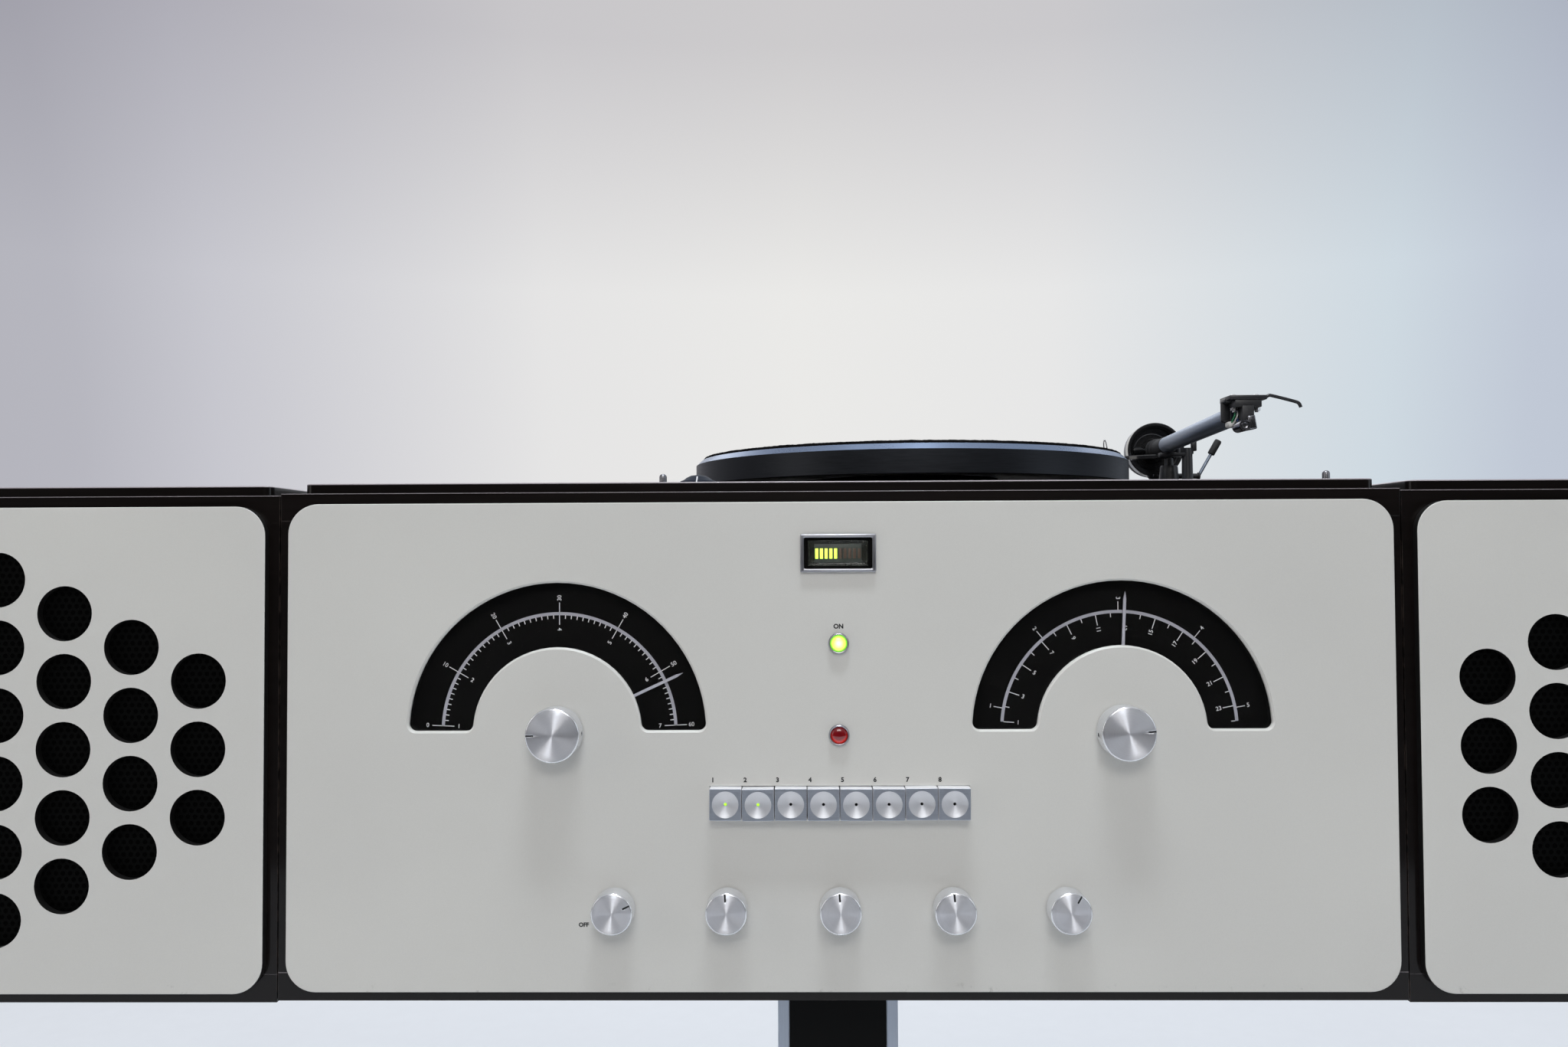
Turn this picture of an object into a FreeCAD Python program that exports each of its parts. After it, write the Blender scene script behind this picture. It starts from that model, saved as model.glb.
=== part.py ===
import FreeCAD
import Part
import math
import os

# Radiogram: centre cabinet with dials, keys, knobs and turntable, two hung loudspeakers, column stand.
# Millimetres. X to the viewer's right, Y to the back, Z up. Origin on the floor under the middle.

V = FreeCAD.Vector
ALONG_X = V(1, 0, 0)
ALONG_Y = V(0, 1, 0)
ALONG_Z = V(0, 0, 1)
SIDES = (-1, 1)

# Cabinets
cabinet_width = 610.0
cabinet_height = 275.0
cabinet_depth = 365.0
board = 15.0
rear_board = 4.0
stand_height = 340.0
speaker_width = 304.5
speaker_gap = 0.5
speaker_drop = 1.0
cut_over = 1.0
plane_tolerance = 0.06
diagonal_share = 1 - 1 / math.sqrt(2)

# White front panels
panel_border = 6.0
panel_proud = 5.0
panel_corner = 16.4
panel_edge_round = 0.6
rebate_depth = 6.0
rebate_width = 6.0
panel_fit = 0.25

# Raised decks
deck_thickness = 6.0
deck_inset = 9.0
deck_corner = 5.0
deck_edge_round = 0.8

# Dial windows, pointers and scales
dial_spacing_share = 0.499672
dial_height_share = 0.527273
window_outer_share = 0.293455
window_inner_share = 0.166182
window_cut = 0.7
window_corner = 4.0
window_bevel = 1.0
window_lip = 3.0
pane_overlap = 4.0
pane_fit = 0.15
pointer_gap = 1.0
pointer_thickness = 1.0
pointer_width = 1.5
pointer_short = 6.0
pointer_tip = 4.0
pointer_hub_radius = 8.0
sleeve_radius = 5.0
sleeve_length = 5.5
sleeve_clearance = 0.5
scale_gap = 1.0
scale_thickness = 1.5
scale_margin = 8.0
scale_below = 14.0
scale_post_radius = 3.0
drive_radius = 16.0
drive_length = 17.5
sleeve_seat = 3.0
running_fit = 0.05
tuning_pointer_angle = 24.8
memory_pointer_angle = 87.3

# Knobs and their control units
shaft_radius = 3.0
shaft_hole_clearance = 0.6
shaft_end_gap = 1.0
knob_gap = 0.6
knob_height = 13.0
dial_knob_radius = 14.5
small_knob_radius = 11.1
knob_chamfer = 0.8
knob_mark_length = 5.0
knob_mark_width = 0.7
knob_mark_depth = 0.3
knob_mark_edge = 0.6
grub_radius = 1.2
grub_height = 4.5
shaft_seat_share = 2 / 3
small_knob_pitch = 60.5
small_knob_height_share = 0.186182
unit_radius = 12.0
unit_length = 10.0
unit_bush_radius = 5.0
unit_bush_length = 2.0
tuning_mark_angle = 180.0
memory_mark_angle = 6.0
small_mark_angles = {"volume": 26.0, "bass": 93.5, "middle": 94.0, "treble": 95.0, "balance": 60.0}

# Keys and their switch bank
key_count = 8
key_size = 17.0
key_pitch = 17.46
key_height_share = 0.39
key_proud = 7.0
key_tail = 6.0
key_slot_clearance = 0.3
key_edge = 0.3
dish_radius = 7.1
dish_depth = 1.2
key_light_radius = 0.8
key_light_depth = 3.0
stem_size = 8.0
stem_length = 14.0
stem_clearance = 0.2
bank_gap = 6.0
bank_depth = 28.0
bank_height = 24.0
bank_margin = 14.0
bank_bore_depth = 14.0
bank_post_radius = 4.0

# Level meter and lamps
meter_below_top = 33.9
bezel_width = 41.0
bezel_height = 20.6
bezel_proud = 2.0
bezel_chamfer = 0.7
meter_opening_width = 37.0
meter_opening_height = 17.0
bezel_wall = 1.0
bezel_fit = 0.1
meter_glass = 1.2
meter_glass_recess = 1.2
meter_face_recess = 4.5
meter_depth = 22.0
meter_flange = 3.0
meter_flange_thickness = 3.0
lamp_height_shares = (0.7, 0.521091)
lamp_bezel_radius = 5.6
lamp_sleeve_radius = 5.1
lamp_lens_radius = 4.45
lamp_bore_radius = 4.5
lamp_proud = 2.2
lamp_lens_proud = 1.0
lamp_dome = 1.6

# Turntable drive
platter_from_end = 249.3
platter_back = 185.0
platter_radius = 147.7
platter_gap = 5.9
platter_thickness = 18.0
platter_chamfer_height = 3.5
platter_chamfer_width = 3.7
platter_web = 10.0
platter_recess_radius = 132.0
mat_radius = 143.0
mat_thickness = 2.4
spindle_radius = 3.55
spindle_height = 12.0
spindle_dome = 2.0
spindle_step = 0.6
spindle_fit = 0.05
subplatter_radius = 60.0
subplatter_gap = 4.9
axle_radius = 4.0
axle_length = 34.0
bearing_flange_radius = 22.0
bearing_flange = 3.0
bearing_radius = 11.0
bearing_length = 40.0
bearing_fit = 0.3
motor_reach = 95.0
motor_angle = 160.0
motor_radius = 25.0
motor_length = 40.0
motor_hole_radius = 7.0
pulley_radius = 5.0
pulley_flange = 1.0
pulley_shaft_radius = 2.0
pulley_shaft_depth = 26.0
belt_thickness = 0.8
belt_height = 4.0
belt_clearance = 0.3
belt_rise = 7.0
speed_from_platter = 136.7
speed_back = 60.0
speed_radius = 11.0
speed_height = 7.2
speed_rim = 3.2
speed_gap = 0.4
speed_shaft_length = 28.0

# Tonearm
arm_from_end = 59.2
arm_back = 252.0
arm_height = 36.8
head_from_arm = 19.4
head_back = 34.0
base_radius = 27.0
base_thickness = 5.0
arm_pillar_radius = 9.0
arm_pillar_top = 12.0
yoke_stem_radius = 4.0
yoke_stem_seat = 6.0
ring_radius = 20.0
ring_inner_radius = 15.8
ring_width = 9.0
tilt_axle_radius = 1.5
tilt_axle_seat = 2.2
arm_tube_radius = 5.6
arm_tube_wall = 0.9
arm_collar_radius = 7.0
arm_collar_length = 21.0
arm_collar_behind = 3.0
arm_tube_short = 1.5
stub_radius = 4.0
stub_length = 36.0
weight_radius = 21.7
weight_length = 18.0
weight_start = 11.0
weight_groove = 1.2
weight_fit = 0.05
weight_dial_radius = 13.4
weight_dial_length = 2.0
weight_hub_radius = 9.4
weight_hub_length = 3.0
head_plate_width = 20.9
head_plate_offset = 5.6
head_plate_length = 17.0
head_plate_thickness = 2.6
head_plate_rise = 11.2
head_web_width = 6.0
head_web_thickness = 2.0
head_overhang_share = 3 / 4
finger_place_share = 1 / 4
finger_radius = 0.9
finger_reach = 21.0
finger_drop = 5.0
cartridge_width = 15.0
cartridge_length = 10.0
cartridge_gap = 0.5
cartridge_height = 6.0
cartridge_body_width = 9.0
cartridge_body_height = 12.2
cartridge_nose = 4.0
pillar_from_arm = 0.2
pillar_back = 217.0
pillar_radius = 6.3
pillar_top = 22.6
pillar_bore_radius = 3.0
lift_stem_depth = 16.0
lift_bar_width = 5.0
lift_bar_thickness = 3.0
lift_sweep = 50.0
lift_gap = 0.5
rest_from_arm = 8.7
rest_back = 202.0
rest_radius = 4.0
rest_top_radius = 3.2
rest_bar_width = 6.0
rest_bar_thickness = 3.0
rest_prong = 3.0
rest_prong_rise = 9.0
rest_side_gap = 2.0
lever_pivot_height = 15.0
lever_shaft_radius = 2.0
lever_shaft_seat = 4.0
lever_shaft_length = 17.0
lever_radius = 1.15
lever_length = 32.0
lever_lean = 24.0
sleeve_grip_radius = 2.6
sleeve_grip_length = 11.0
pin_from_platter = 153.7
pin_from_end = 29.0
pin_back = 25.0
pin_radius = 2.1
pin_root_radius = 2.6
pin_height = 5.5
pin_dome = 1.2

# Inside and back of the cabinet
circuit_width_share = 0.52459
circuit_depth = 180.0
circuit_thickness = 1.6
circuit_from_end = 65.0
circuit_back = 120.0
circuit_post_radius = 4.0
circuit_post_height = 8.0
circuit_post_inset = 10.0
capacitor_radius = 15.0
capacitor_height = 50.0
capacitor_pitch = 40.0
capacitor_count = 2
heat_sink_width = 120.0
heat_sink_depth = 30.0
heat_sink_height = 60.0
heat_sink_fin = 3.0
heat_sink_count = 10
transformer_from_end = 105.0
transformer_back = 90.0
transformer_width = 84.0
transformer_depth = 60.0
transformer_height = 70.0
coil_overhang = 14.0
coil_inset = 12.0
terminal_width = 220.0
terminal_height = 60.0
terminal_rise = 40.0
terminal_plate = 2.0
terminal_flange = 8.0
jack_radius = 4.5
jack_bore_radius = 1.8
jack_length = 5.5
jack_pitch = 20.0
jack_rows = 2
jack_columns = 6
inlet_width = 27.0
inlet_height = 20.0
inlet_depth = 16.0
inlet_wall = 2.0
inlet_offset = 80.0
screw_radius = 1.75
screw_length = 14.0
screw_head_radius = 3.5
screw_head = 2.0
screw_inset = 7.5
screw_row_shares = (-1, -1 / 3, 1 / 3, 1)
bolt_radius = 4.0
bolt_length = 24.0
bolt_head_radius = 7.0
bolt_head = 5.0
fastener_fit = 0.1
stud_radius = 4.0
stud_seat = 10.0
stud_head_radius = 7.0
stud_head = 3.5
stud_height_share = 0.727273
stud_backs = (90.0, 270.0)
slot_clearance = 0.4
slot_wall = 3.2
slot_gap = 0.3
hang_lift = 18.0

# Loudspeakers
hole_radius = 15.0
hole_run_share = 0.120854
hole_rise_share = 0.133818
hole_columns = (3, 4, 5, 6, 5, 4, 3)
mesh_thickness = 0.8
mesh_margin = 23.4
driver_board_gap = 11.0
driver_board = 12.0
woofer_radius_share = 0.298182
woofer_rim = 12.0
woofer_depth = 70.0
woofer_magnet_radius = 45.0
woofer_magnet = 22.0
woofer_drop_share = 0.127273
tweeter_radius_share = 0.123636
tweeter_rim = 10.0
tweeter_depth = 26.0
tweeter_magnet_radius = 17.0
tweeter_magnet = 14.0
tweeter_rise_share = 0.309091
driver_flange = 4.0
driver_wall = 2.0
driver_fit = 0.5
cone_throat_share = 1 / 3

# Stand
upright_thickness = 6.5
column_width = 69.0
column_depth = 275.0
core_recess = 1.0
core_wall = 10.0
core_cap = 22.0
upright_edge = 0.6
base_width = 560.0
base_depth = 330.0
base_plate = 16.0
base_corner = 60.0
base_edge = 4.0
glide_radius = 18.0
glide_height = 8.0
glide_inset = 70.0
column_bolt_pitch = 180.0

# Places worked out from the sizes above
front = -(cabinet_depth + screw_head - panel_proud - knob_gap - knob_height) / 2
back = front + cabinet_depth
face = front - panel_proud
cab_z = stand_height
cab_top = cab_z + cabinet_height
deck_top = cab_top + deck_thickness
half = cabinet_width / 2
shell_depth = cabinet_depth - rear_board
dial_spacing = cabinet_width * dial_spacing_share
dial_z = cab_z + cabinet_height * dial_height_share
window_outer_radius = cabinet_height * window_outer_share
window_inner_radius = cabinet_height * window_inner_share
pointer_length = window_outer_radius - pointer_short
small_knob_z = cab_z + cabinet_height * small_knob_height_share
key_z = cab_z + cabinet_height * key_height_share
meter_z = cab_top - meter_below_top
lamp_levels = [cab_z + cabinet_height * share for share in lamp_height_shares]
stud_z = cab_z + cabinet_height * stud_height_share
platter_x = half - platter_from_end
speed_x = platter_x - speed_from_platter
arm_x = half - arm_from_end
head_x = arm_x - head_from_arm
pillar_x = arm_x + pillar_from_arm
rest_x = arm_x + rest_from_arm
pin_places = (platter_x - pin_from_platter, half - pin_from_end)
circuit_width = cabinet_width * circuit_width_share
transformer_x = half - transformer_from_end
hole_run = speaker_width * hole_run_share
hole_rise = cabinet_height * hole_rise_share
woofer_radius = cabinet_height * woofer_radius_share
tweeter_radius = cabinet_height * tweeter_radius_share
platter_y = front + platter_back
pivot = V(arm_x, front + arm_back, deck_top + arm_height)
head_point = V(head_x, front + head_back, pivot.z)
arm_line = head_point.sub(pivot)
arm_length = arm_line.Length
arm_dir = V(arm_line).normalize()
arm_side = ALONG_Z.cross(arm_dir).normalize()
scale_y = front + pointer_gap + pointer_thickness + scale_gap
drive_y = scale_y + scale_thickness
motor_x = platter_x + motor_reach * math.cos(math.radians(motor_angle))
motor_y = platter_y + motor_reach * math.sin(math.radians(motor_angle))
speaker_half = speaker_width / 2
speaker_x = half + speaker_gap + speaker_half
base_top = glide_height + base_plate
bolt_x = column_width / 2 - upright_thickness - core_wall - bolt_radius


# Building blocks

def box(x0, x1, y0, y1, z0, z1):
    return Part.makeBox(x1 - x0, y1 - y0, z1 - z0, V(x0, y0, z0))


def rod_y(x, z, radius, y0, y1):
    return Part.makeCylinder(radius, y1 - y0, V(x, y0, z), ALONG_Y)


def rod_z(x, y, radius, z0, z1):
    return Part.makeCylinder(radius, z1 - z0, V(x, y, z0), ALONG_Z)


def rod_x(y, z, radius, x0, x1):
    return Part.makeCylinder(radius, x1 - x0, V(x0, y, z), ALONG_X)


def rod_between(a, b, radius):
    line = b.sub(a)
    return Part.makeCylinder(radius, line.Length, a, line)


def round_rect_face(width, height, radius, place):
    # Rounded rectangle about the middle; place turns (u, v) into a point.
    u = width / 2
    v = height / 2
    diagonal = radius * diagonal_share
    edges = []
    corners = ((1, 1), (-1, 1), (-1, -1), (1, -1))
    for i, (su, sv) in enumerate(corners):
        along_v = place(su * u, sv * (v - radius))
        along_u = place(su * (u - radius), sv * v)
        middle = place(su * (u - diagonal), sv * (v - diagonal))
        first, last = (along_v, along_u) if su == sv else (along_u, along_v)
        edges.append(Part.Arc(first, middle, last).toShape())
        nu, nv = corners[(i + 1) % len(corners)]
        if nu == su:
            following = place(nu * u, nv * (v - radius))
        else:
            following = place(nu * (u - radius), nv * v)
        edges.append(Part.makeLine(last, following))
    return Part.Face(Part.Wire(edges))


def plate_xz(cx, cz, width, height, radius, y0, y1):
    flat = round_rect_face(width, height, radius, lambda u, v: V(cx + u, y0, cz + v))
    return flat.extrude(V(0, y1 - y0, 0))


def plate_xy(cx, cy, width, depth, radius, z0, z1):
    flat = round_rect_face(width, depth, radius, lambda u, v: V(cx + u, cy + v, z0))
    return flat.extrude(V(0, 0, z1 - z0))


def edges_on(solid, axis, value):
    # Edges that lie wholly in the plane where the named coordinate has this value.
    found = []
    for edge in solid.Edges:
        bounds = edge.BoundBox
        low = getattr(bounds, axis + "Min")
        high = getattr(bounds, axis + "Max")
        if abs(low - value) < plane_tolerance and abs(high - value) < plane_tolerance:
            found.append(edge)
    return found


def cut_all(solid, tools):
    for tool in tools:
        solid = solid.cut(tool)
    return solid


def fuse_all(solids):
    whole = solids[0]
    for solid in solids[1:]:
        whole = whole.fuse(solid)
    return whole.removeSplitter()


def dome_y(x, z, radius, height, y_base):
    # Cap of a sphere that stands out towards the viewer from y_base.
    sphere_radius = (radius * radius + height * height) / (2 * height)
    ball = Part.makeSphere(sphere_radius, V(x, y_base - height + sphere_radius, z))
    return ball.common(rod_y(x, z, radius, y_base - height, y_base))


def dome_z(x, y, radius, height, z_base):
    sphere_radius = (radius * radius + height * height) / (2 * height)
    ball = Part.makeSphere(sphere_radius, V(x, y, z_base + height - sphere_radius))
    return ball.common(rod_z(x, y, radius, z_base, z_base + height))


def export(name, *solids):
    shape = solids[0] if len(solids) == 1 else Part.makeCompound(list(solids))
    shape.exportStep("parts/" + name + ".step")


# Cabinet boards, panels and decks

def carcass(x0, x1, z0):
    # Bottom, top and two side boards.
    z1 = z0 + cabinet_height
    y1 = front + shell_depth
    bottom = box(x0, x1, front, y1, z0, z0 + board)
    top = box(x0, x1, front, y1, z1 - board, z1)
    left = box(x0, x0 + board, front, y1, z0 + board, z1 - board)
    right = box(x1 - board, x1, front, y1, z0 + board, z1 - board)
    return [bottom, top, left, right]


def front_plate(cx, z0, width):
    # Proud white plate with rounded corners and a rebated ring that drops into the carcass.
    plate_width = width - 2 * panel_border
    plate_height = cabinet_height - 2 * panel_border
    cz = z0 + cabinet_height / 2
    plate = plate_xz(cx, cz, plate_width, plate_height, panel_corner, face, front)
    plate = plate.makeFillet(panel_edge_round, edges_on(plate, "Y", face))
    ring_half = width / 2 - board - panel_fit
    ring_z0 = z0 + board + panel_fit
    ring_z1 = z0 + cabinet_height - board - panel_fit
    outer = box(cx - ring_half, cx + ring_half, front, front + rebate_depth, ring_z0, ring_z1)
    inner_half = ring_half - rebate_width
    inner = box(cx - inner_half, cx + inner_half, front - cut_over, front + rebate_depth + cut_over,
                ring_z0 + rebate_width, ring_z1 - rebate_width)
    return fuse_all([plate, outer.cut(inner)])


def deck_plate(cx, z0, width):
    plate = plate_xy(cx, front + cabinet_depth / 2, width - 2 * deck_inset, cabinet_depth - 2 * deck_inset,
                     deck_corner, z0, z0 + deck_thickness)
    return plate.makeFillet(deck_edge_round, edges_on(plate, "Z", z0 + deck_thickness))


def rear_plate(cx, z0, width):
    inset = panel_border
    return box(cx - width / 2 + inset, cx + width / 2 - inset, front + shell_depth, back,
               z0 + inset, z0 + cabinet_height - inset)


def rear_screw_places(cx, z0, width):
    x_reach = width / 2 - panel_border - screw_inset
    z_low = z0 + panel_border + screw_inset
    z_high = z0 + cabinet_height - panel_border - screw_inset
    return [(cx + share * x_reach, z) for z in (z_low, z_high) for share in screw_row_shares]


def screw_holes(places):
    radius = screw_radius + fastener_fit
    return [rod_y(x, z, radius, back - screw_length, back + cut_over) for x, z in places]


def rear_screw(x, z):
    head = rod_y(x, z, screw_head_radius, back, back + screw_head)
    return head.fuse(rod_y(x, z, screw_radius, back - screw_length, back)).removeSplitter()


def column_bolt_places():
    y_mid = front + cabinet_depth / 2
    return [(side * bolt_x, y_mid + end * column_bolt_pitch / 2) for side in SIDES for end in SIDES]


def turntable_holes(z0, z1):
    # Holes that pass through the deck and the top board.
    return [rod_z(platter_x, platter_y, bearing_radius + bearing_fit, z0, z1),
            rod_z(motor_x, motor_y, motor_hole_radius, z0, z1),
            rod_z(speed_x, front + speed_back, shaft_radius + running_fit, z0, z1)]


def make_cabinet_shell():
    boards = carcass(-half, half, cab_z)
    bolt_holes = [rod_z(x, y, bolt_radius + fastener_fit, cab_z - cut_over, cab_z + board + cut_over)
                  for x, y in column_bolt_places()]
    boards[0] = cut_all(boards[0], bolt_holes)
    boards[1] = cut_all(boards[1], turntable_holes(cab_top - board - cut_over, cab_top + cut_over))
    screws = screw_holes(rear_screw_places(0, cab_z, cabinet_width))
    boards = [cut_all(solid, screws) for solid in boards]
    for side, index in ((-1, 2), (1, 3)):
        for stud_back in stud_backs:
            x0 = side * half - (stud_seat if side > 0 else cut_over)
            hole = rod_x(front + stud_back, stud_z, stud_radius + fastener_fit, x0, x0 + stud_seat + cut_over)
            boards[index] = boards[index].cut(hole)
    export("cabinet_shell", *boards)


def half_ring(cx, outer, inner, below, corner, y0, y1):
    # Half-round window shape with level ends and rounded corners.
    ring = rod_y(cx, dial_z, outer, y0, y1).cut(rod_y(cx, dial_z, inner, y0, y1))
    reach = outer + cut_over
    keep = box(cx - reach, cx + reach, y0, y1, dial_z + below, dial_z + reach)
    ring = ring.common(keep)
    upright = [e for e in ring.Edges if e.BoundBox.YLength > (y1 - y0) / 2
               and e.BoundBox.XLength < cut_over and e.BoundBox.ZLength < cut_over
               and abs(e.BoundBox.ZMin - dial_z - below) < cut_over]
    return ring.makeFillet(corner, upright)


def window_opening(cx, y0, y1):
    return half_ring(cx, window_outer_radius, window_inner_radius, window_cut, window_corner, y0, y1)


def window_pane(cx, y0, y1, fit):
    return half_ring(cx, window_outer_radius + pane_overlap - fit, window_inner_radius - pane_overlap + fit,
                     window_cut - pane_overlap + fit, window_corner, y0, y1)


def key_slot_size():
    width = (key_count - 1) * key_pitch + key_size + 2 * key_slot_clearance
    return width, key_size + 2 * key_slot_clearance


def knob_places():
    places = []
    for side in SIDES:
        places.append((side * dial_spacing / 2, dial_z))
    for step in range(len(small_mark_angles)):
        places.append((small_knob_x(step), small_knob_z))
    return places


def small_knob_x(step):
    return (step - (len(small_mark_angles) - 1) / 2) * small_knob_pitch


def make_front_panel():
    panel = front_plate(0, cab_z, cabinet_width)
    for side in SIDES:
        cx = side * dial_spacing / 2
        panel = panel.cut(window_opening(cx, face - cut_over, front + cut_over))
        panel = panel.cut(window_pane(cx, face + window_lip, front + cut_over, 0))
    rims = []
    for side in SIDES:
        cx = side * dial_spacing / 2
        reach = window_outer_radius + cut_over
        for edge in edges_on(panel, "Y", face):
            middle = edge.BoundBox.Center
            if abs(middle.x - cx) < reach and abs(middle.z - dial_z) < reach:
                rims.append(edge)
    panel = panel.makeChamfer(window_bevel, rims)
    slot_width, slot_height = key_slot_size()
    through0 = face - cut_over
    through1 = front + cut_over
    panel = panel.cut(box(-slot_width / 2, slot_width / 2, through0, through1,
                          key_z - slot_height / 2, key_z + slot_height / 2))
    sleeve_w = meter_opening_width / 2 + bezel_wall + bezel_fit
    sleeve_h = meter_opening_height / 2 + bezel_wall + bezel_fit
    panel = panel.cut(box(-sleeve_w, sleeve_w, through0, through1, meter_z - sleeve_h, meter_z + sleeve_h))
    for z in lamp_levels:
        panel = panel.cut(rod_y(0, z, lamp_sleeve_radius + bezel_fit, through0, through1))
    for x, z in knob_places():
        panel = panel.cut(rod_y(x, z, shaft_radius + shaft_hole_clearance, through0, through1))
    export("front_panel", panel)


def terminal_z():
    return cab_z + board + terminal_rise + terminal_height / 2


def make_rear_panel():
    panel = rear_plate(0, cab_z, cabinet_width)
    panel = cut_all(panel, screw_holes(rear_screw_places(0, cab_z, cabinet_width)))
    opening_w = terminal_width / 2 - terminal_flange
    opening_h = terminal_height / 2 - terminal_flange
    opening = box(-opening_w, opening_w, front + shell_depth - cut_over, back + cut_over,
                  terminal_z() - opening_h, terminal_z() + opening_h)
    export("rear_panel", panel.cut(opening))


def make_top_deck():
    deck = deck_plate(0, cab_top, cabinet_width)
    deck = cut_all(deck, turntable_holes(cab_top - cut_over, deck_top + cut_over))
    for x in pin_places:
        deck = deck.cut(rod_z(x, front + pin_back, pin_root_radius, cab_top - cut_over, deck_top + cut_over))
    export("top_deck", deck)


# Dials

def make_clear_windows():
    panes = [window_pane(side * dial_spacing / 2, face + window_lip, front, pane_fit) for side in SIDES]
    glass_w = meter_opening_width / 2 - bezel_fit
    glass_h = meter_opening_height / 2 - bezel_fit
    glass_y = face - bezel_proud + meter_glass_recess
    glass = box(-glass_w, glass_w, glass_y, glass_y + meter_glass, meter_z - glass_h, meter_z + glass_h)
    export("clear_windows", *panes, glass)


def make_dial_scales():
    plates = []
    for side in SIDES:
        cx = side * dial_spacing / 2
        reach = window_outer_radius + scale_margin
        plate = box(cx - reach, cx + reach, scale_y, drive_y, dial_z - scale_below, dial_z + reach)
        post = scale_post_radius
        posts = [rod_y(cx + end * (reach - post), z, post, front, scale_y)
                 for end in SIDES for z in (dial_z - scale_below + post, dial_z + reach - post)]
        plate = fuse_all([plate] + posts)
        plates.append(plate.cut(rod_y(cx, dial_z, sleeve_radius + sleeve_clearance,
                                      scale_y - cut_over, drive_y + cut_over)))
    export("dial_scales", *plates)


def make_pointer(name, cx, angle):
    y0 = front + pointer_gap
    y1 = y0 + pointer_thickness
    hub = rod_y(cx, dial_z, pointer_hub_radius, y0, y1)
    sleeve = rod_y(cx, dial_z, sleeve_radius, y1, y1 + sleeve_length)
    w = pointer_width / 2
    shoulder = pointer_length - pointer_tip
    outline = [V(cx, y0, dial_z - w), V(cx + shoulder, y0, dial_z - w), V(cx + pointer_length, y0, dial_z),
               V(cx + shoulder, y0, dial_z + w), V(cx, y0, dial_z + w), V(cx, y0, dial_z - w)]
    arm = Part.Face(Part.makePolygon(outline)).extrude(V(0, pointer_thickness, 0))
    arm.rotate(V(cx, y0, dial_z), ALONG_Y, -angle)
    pointer = fuse_all([hub, sleeve, arm])
    bore = rod_y(cx, dial_z, shaft_radius + slot_gap, y0 - cut_over, y1 + sleeve_length + cut_over)
    export(name, pointer.cut(bore))


def make_control_units():
    units = []
    for side in SIDES:
        cx = side * dial_spacing / 2
        body = rod_y(cx, dial_z, drive_radius, drive_y, drive_y + drive_length)
        seat = rod_y(cx, dial_z, sleeve_radius + running_fit, drive_y - cut_over,
                     front + pointer_gap + pointer_thickness + sleeve_length + sleeve_seat)
        bore = rod_y(cx, dial_z, shaft_radius + running_fit, drive_y - cut_over,
                     drive_y + drive_length + cut_over)
        units.append(cut_all(body, [seat, bore]))
    for step in range(len(small_mark_angles)):
        x = small_knob_x(step)
        z = small_knob_z
        bush = rod_y(x, z, unit_bush_radius, front, front + unit_bush_length)
        body_y = front + unit_bush_length
        body = rod_y(x, z, unit_radius, body_y, body_y + unit_length)
        bore = rod_y(x, z, shaft_radius + running_fit, front - cut_over, body_y + unit_length)
        units.append(fuse_all([bush, body]).cut(bore))
    export("control_units", *units)


# Knobs and keys

def make_knob(name, x, z, radius, mark_angle, shaft_end):
    y1 = face - knob_gap
    y0 = y1 - knob_height
    head = rod_y(x, z, radius, y0, y1)
    head = head.makeChamfer(knob_chamfer, edges_on(head, "Y", y0))
    outer = radius - knob_chamfer - knob_mark_edge
    w = knob_mark_width / 2
    mark = box(x + outer - knob_mark_length, x + outer, y0 - cut_over, y0 + knob_mark_depth, z - w, z + w)
    mark.rotate(V(x, y0, z), ALONG_Y, -mark_angle)
    grub = Part.makeCylinder(grub_radius, radius, V(x, y1 - grub_height, z), V(-1, 0, 0))
    grub.rotate(V(x, y1 - grub_height, z), ALONG_Y, -mark_angle)
    shaft_y0 = y1 - knob_height * shaft_seat_share
    shaft = rod_y(x, z, shaft_radius, shaft_y0, shaft_end)
    head = cut_all(head, [mark, grub, shaft])
    export(name, head, shaft)


def make_knobs():
    dial_shaft_end = drive_y + drive_length - shaft_end_gap
    make_knob("tuning_knob", -dial_spacing / 2, dial_z, dial_knob_radius, tuning_mark_angle, dial_shaft_end)
    make_knob("memory_knob", dial_spacing / 2, dial_z, dial_knob_radius, memory_mark_angle, dial_shaft_end)
    unit_end = front + unit_bush_length + unit_length - shaft_end_gap
    for step, (name, angle) in enumerate(small_mark_angles.items()):
        make_knob(name + "_knob", small_knob_x(step), small_knob_z, small_knob_radius,
                  angle, unit_end)


def key_x(step):
    return (step - (key_count - 1) / 2) * key_pitch


def make_keys():
    y0 = face - key_proud
    y1 = front + key_tail
    for step in range(key_count):
        x = key_x(step)
        h = key_size / 2
        key = box(x - h, x + h, y0, y1, key_z - h, key_z + h)
        key = key.makeChamfer(key_edge, edges_on(key, "Y", y0))
        dish = Part.makeCone(dish_radius, key_light_radius, dish_depth, V(x, y0, key_z), ALONG_Y)
        light = rod_y(x, key_z, key_light_radius, y0, y0 + key_light_depth)
        key = cut_all(key, [dish, light])
        s = stem_size / 2
        stem = box(x - s, x + s, y1, y1 + stem_length, key_z - s, key_z + s)
        export("source_key_" + str(step + 1), fuse_all([key, stem]))


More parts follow.
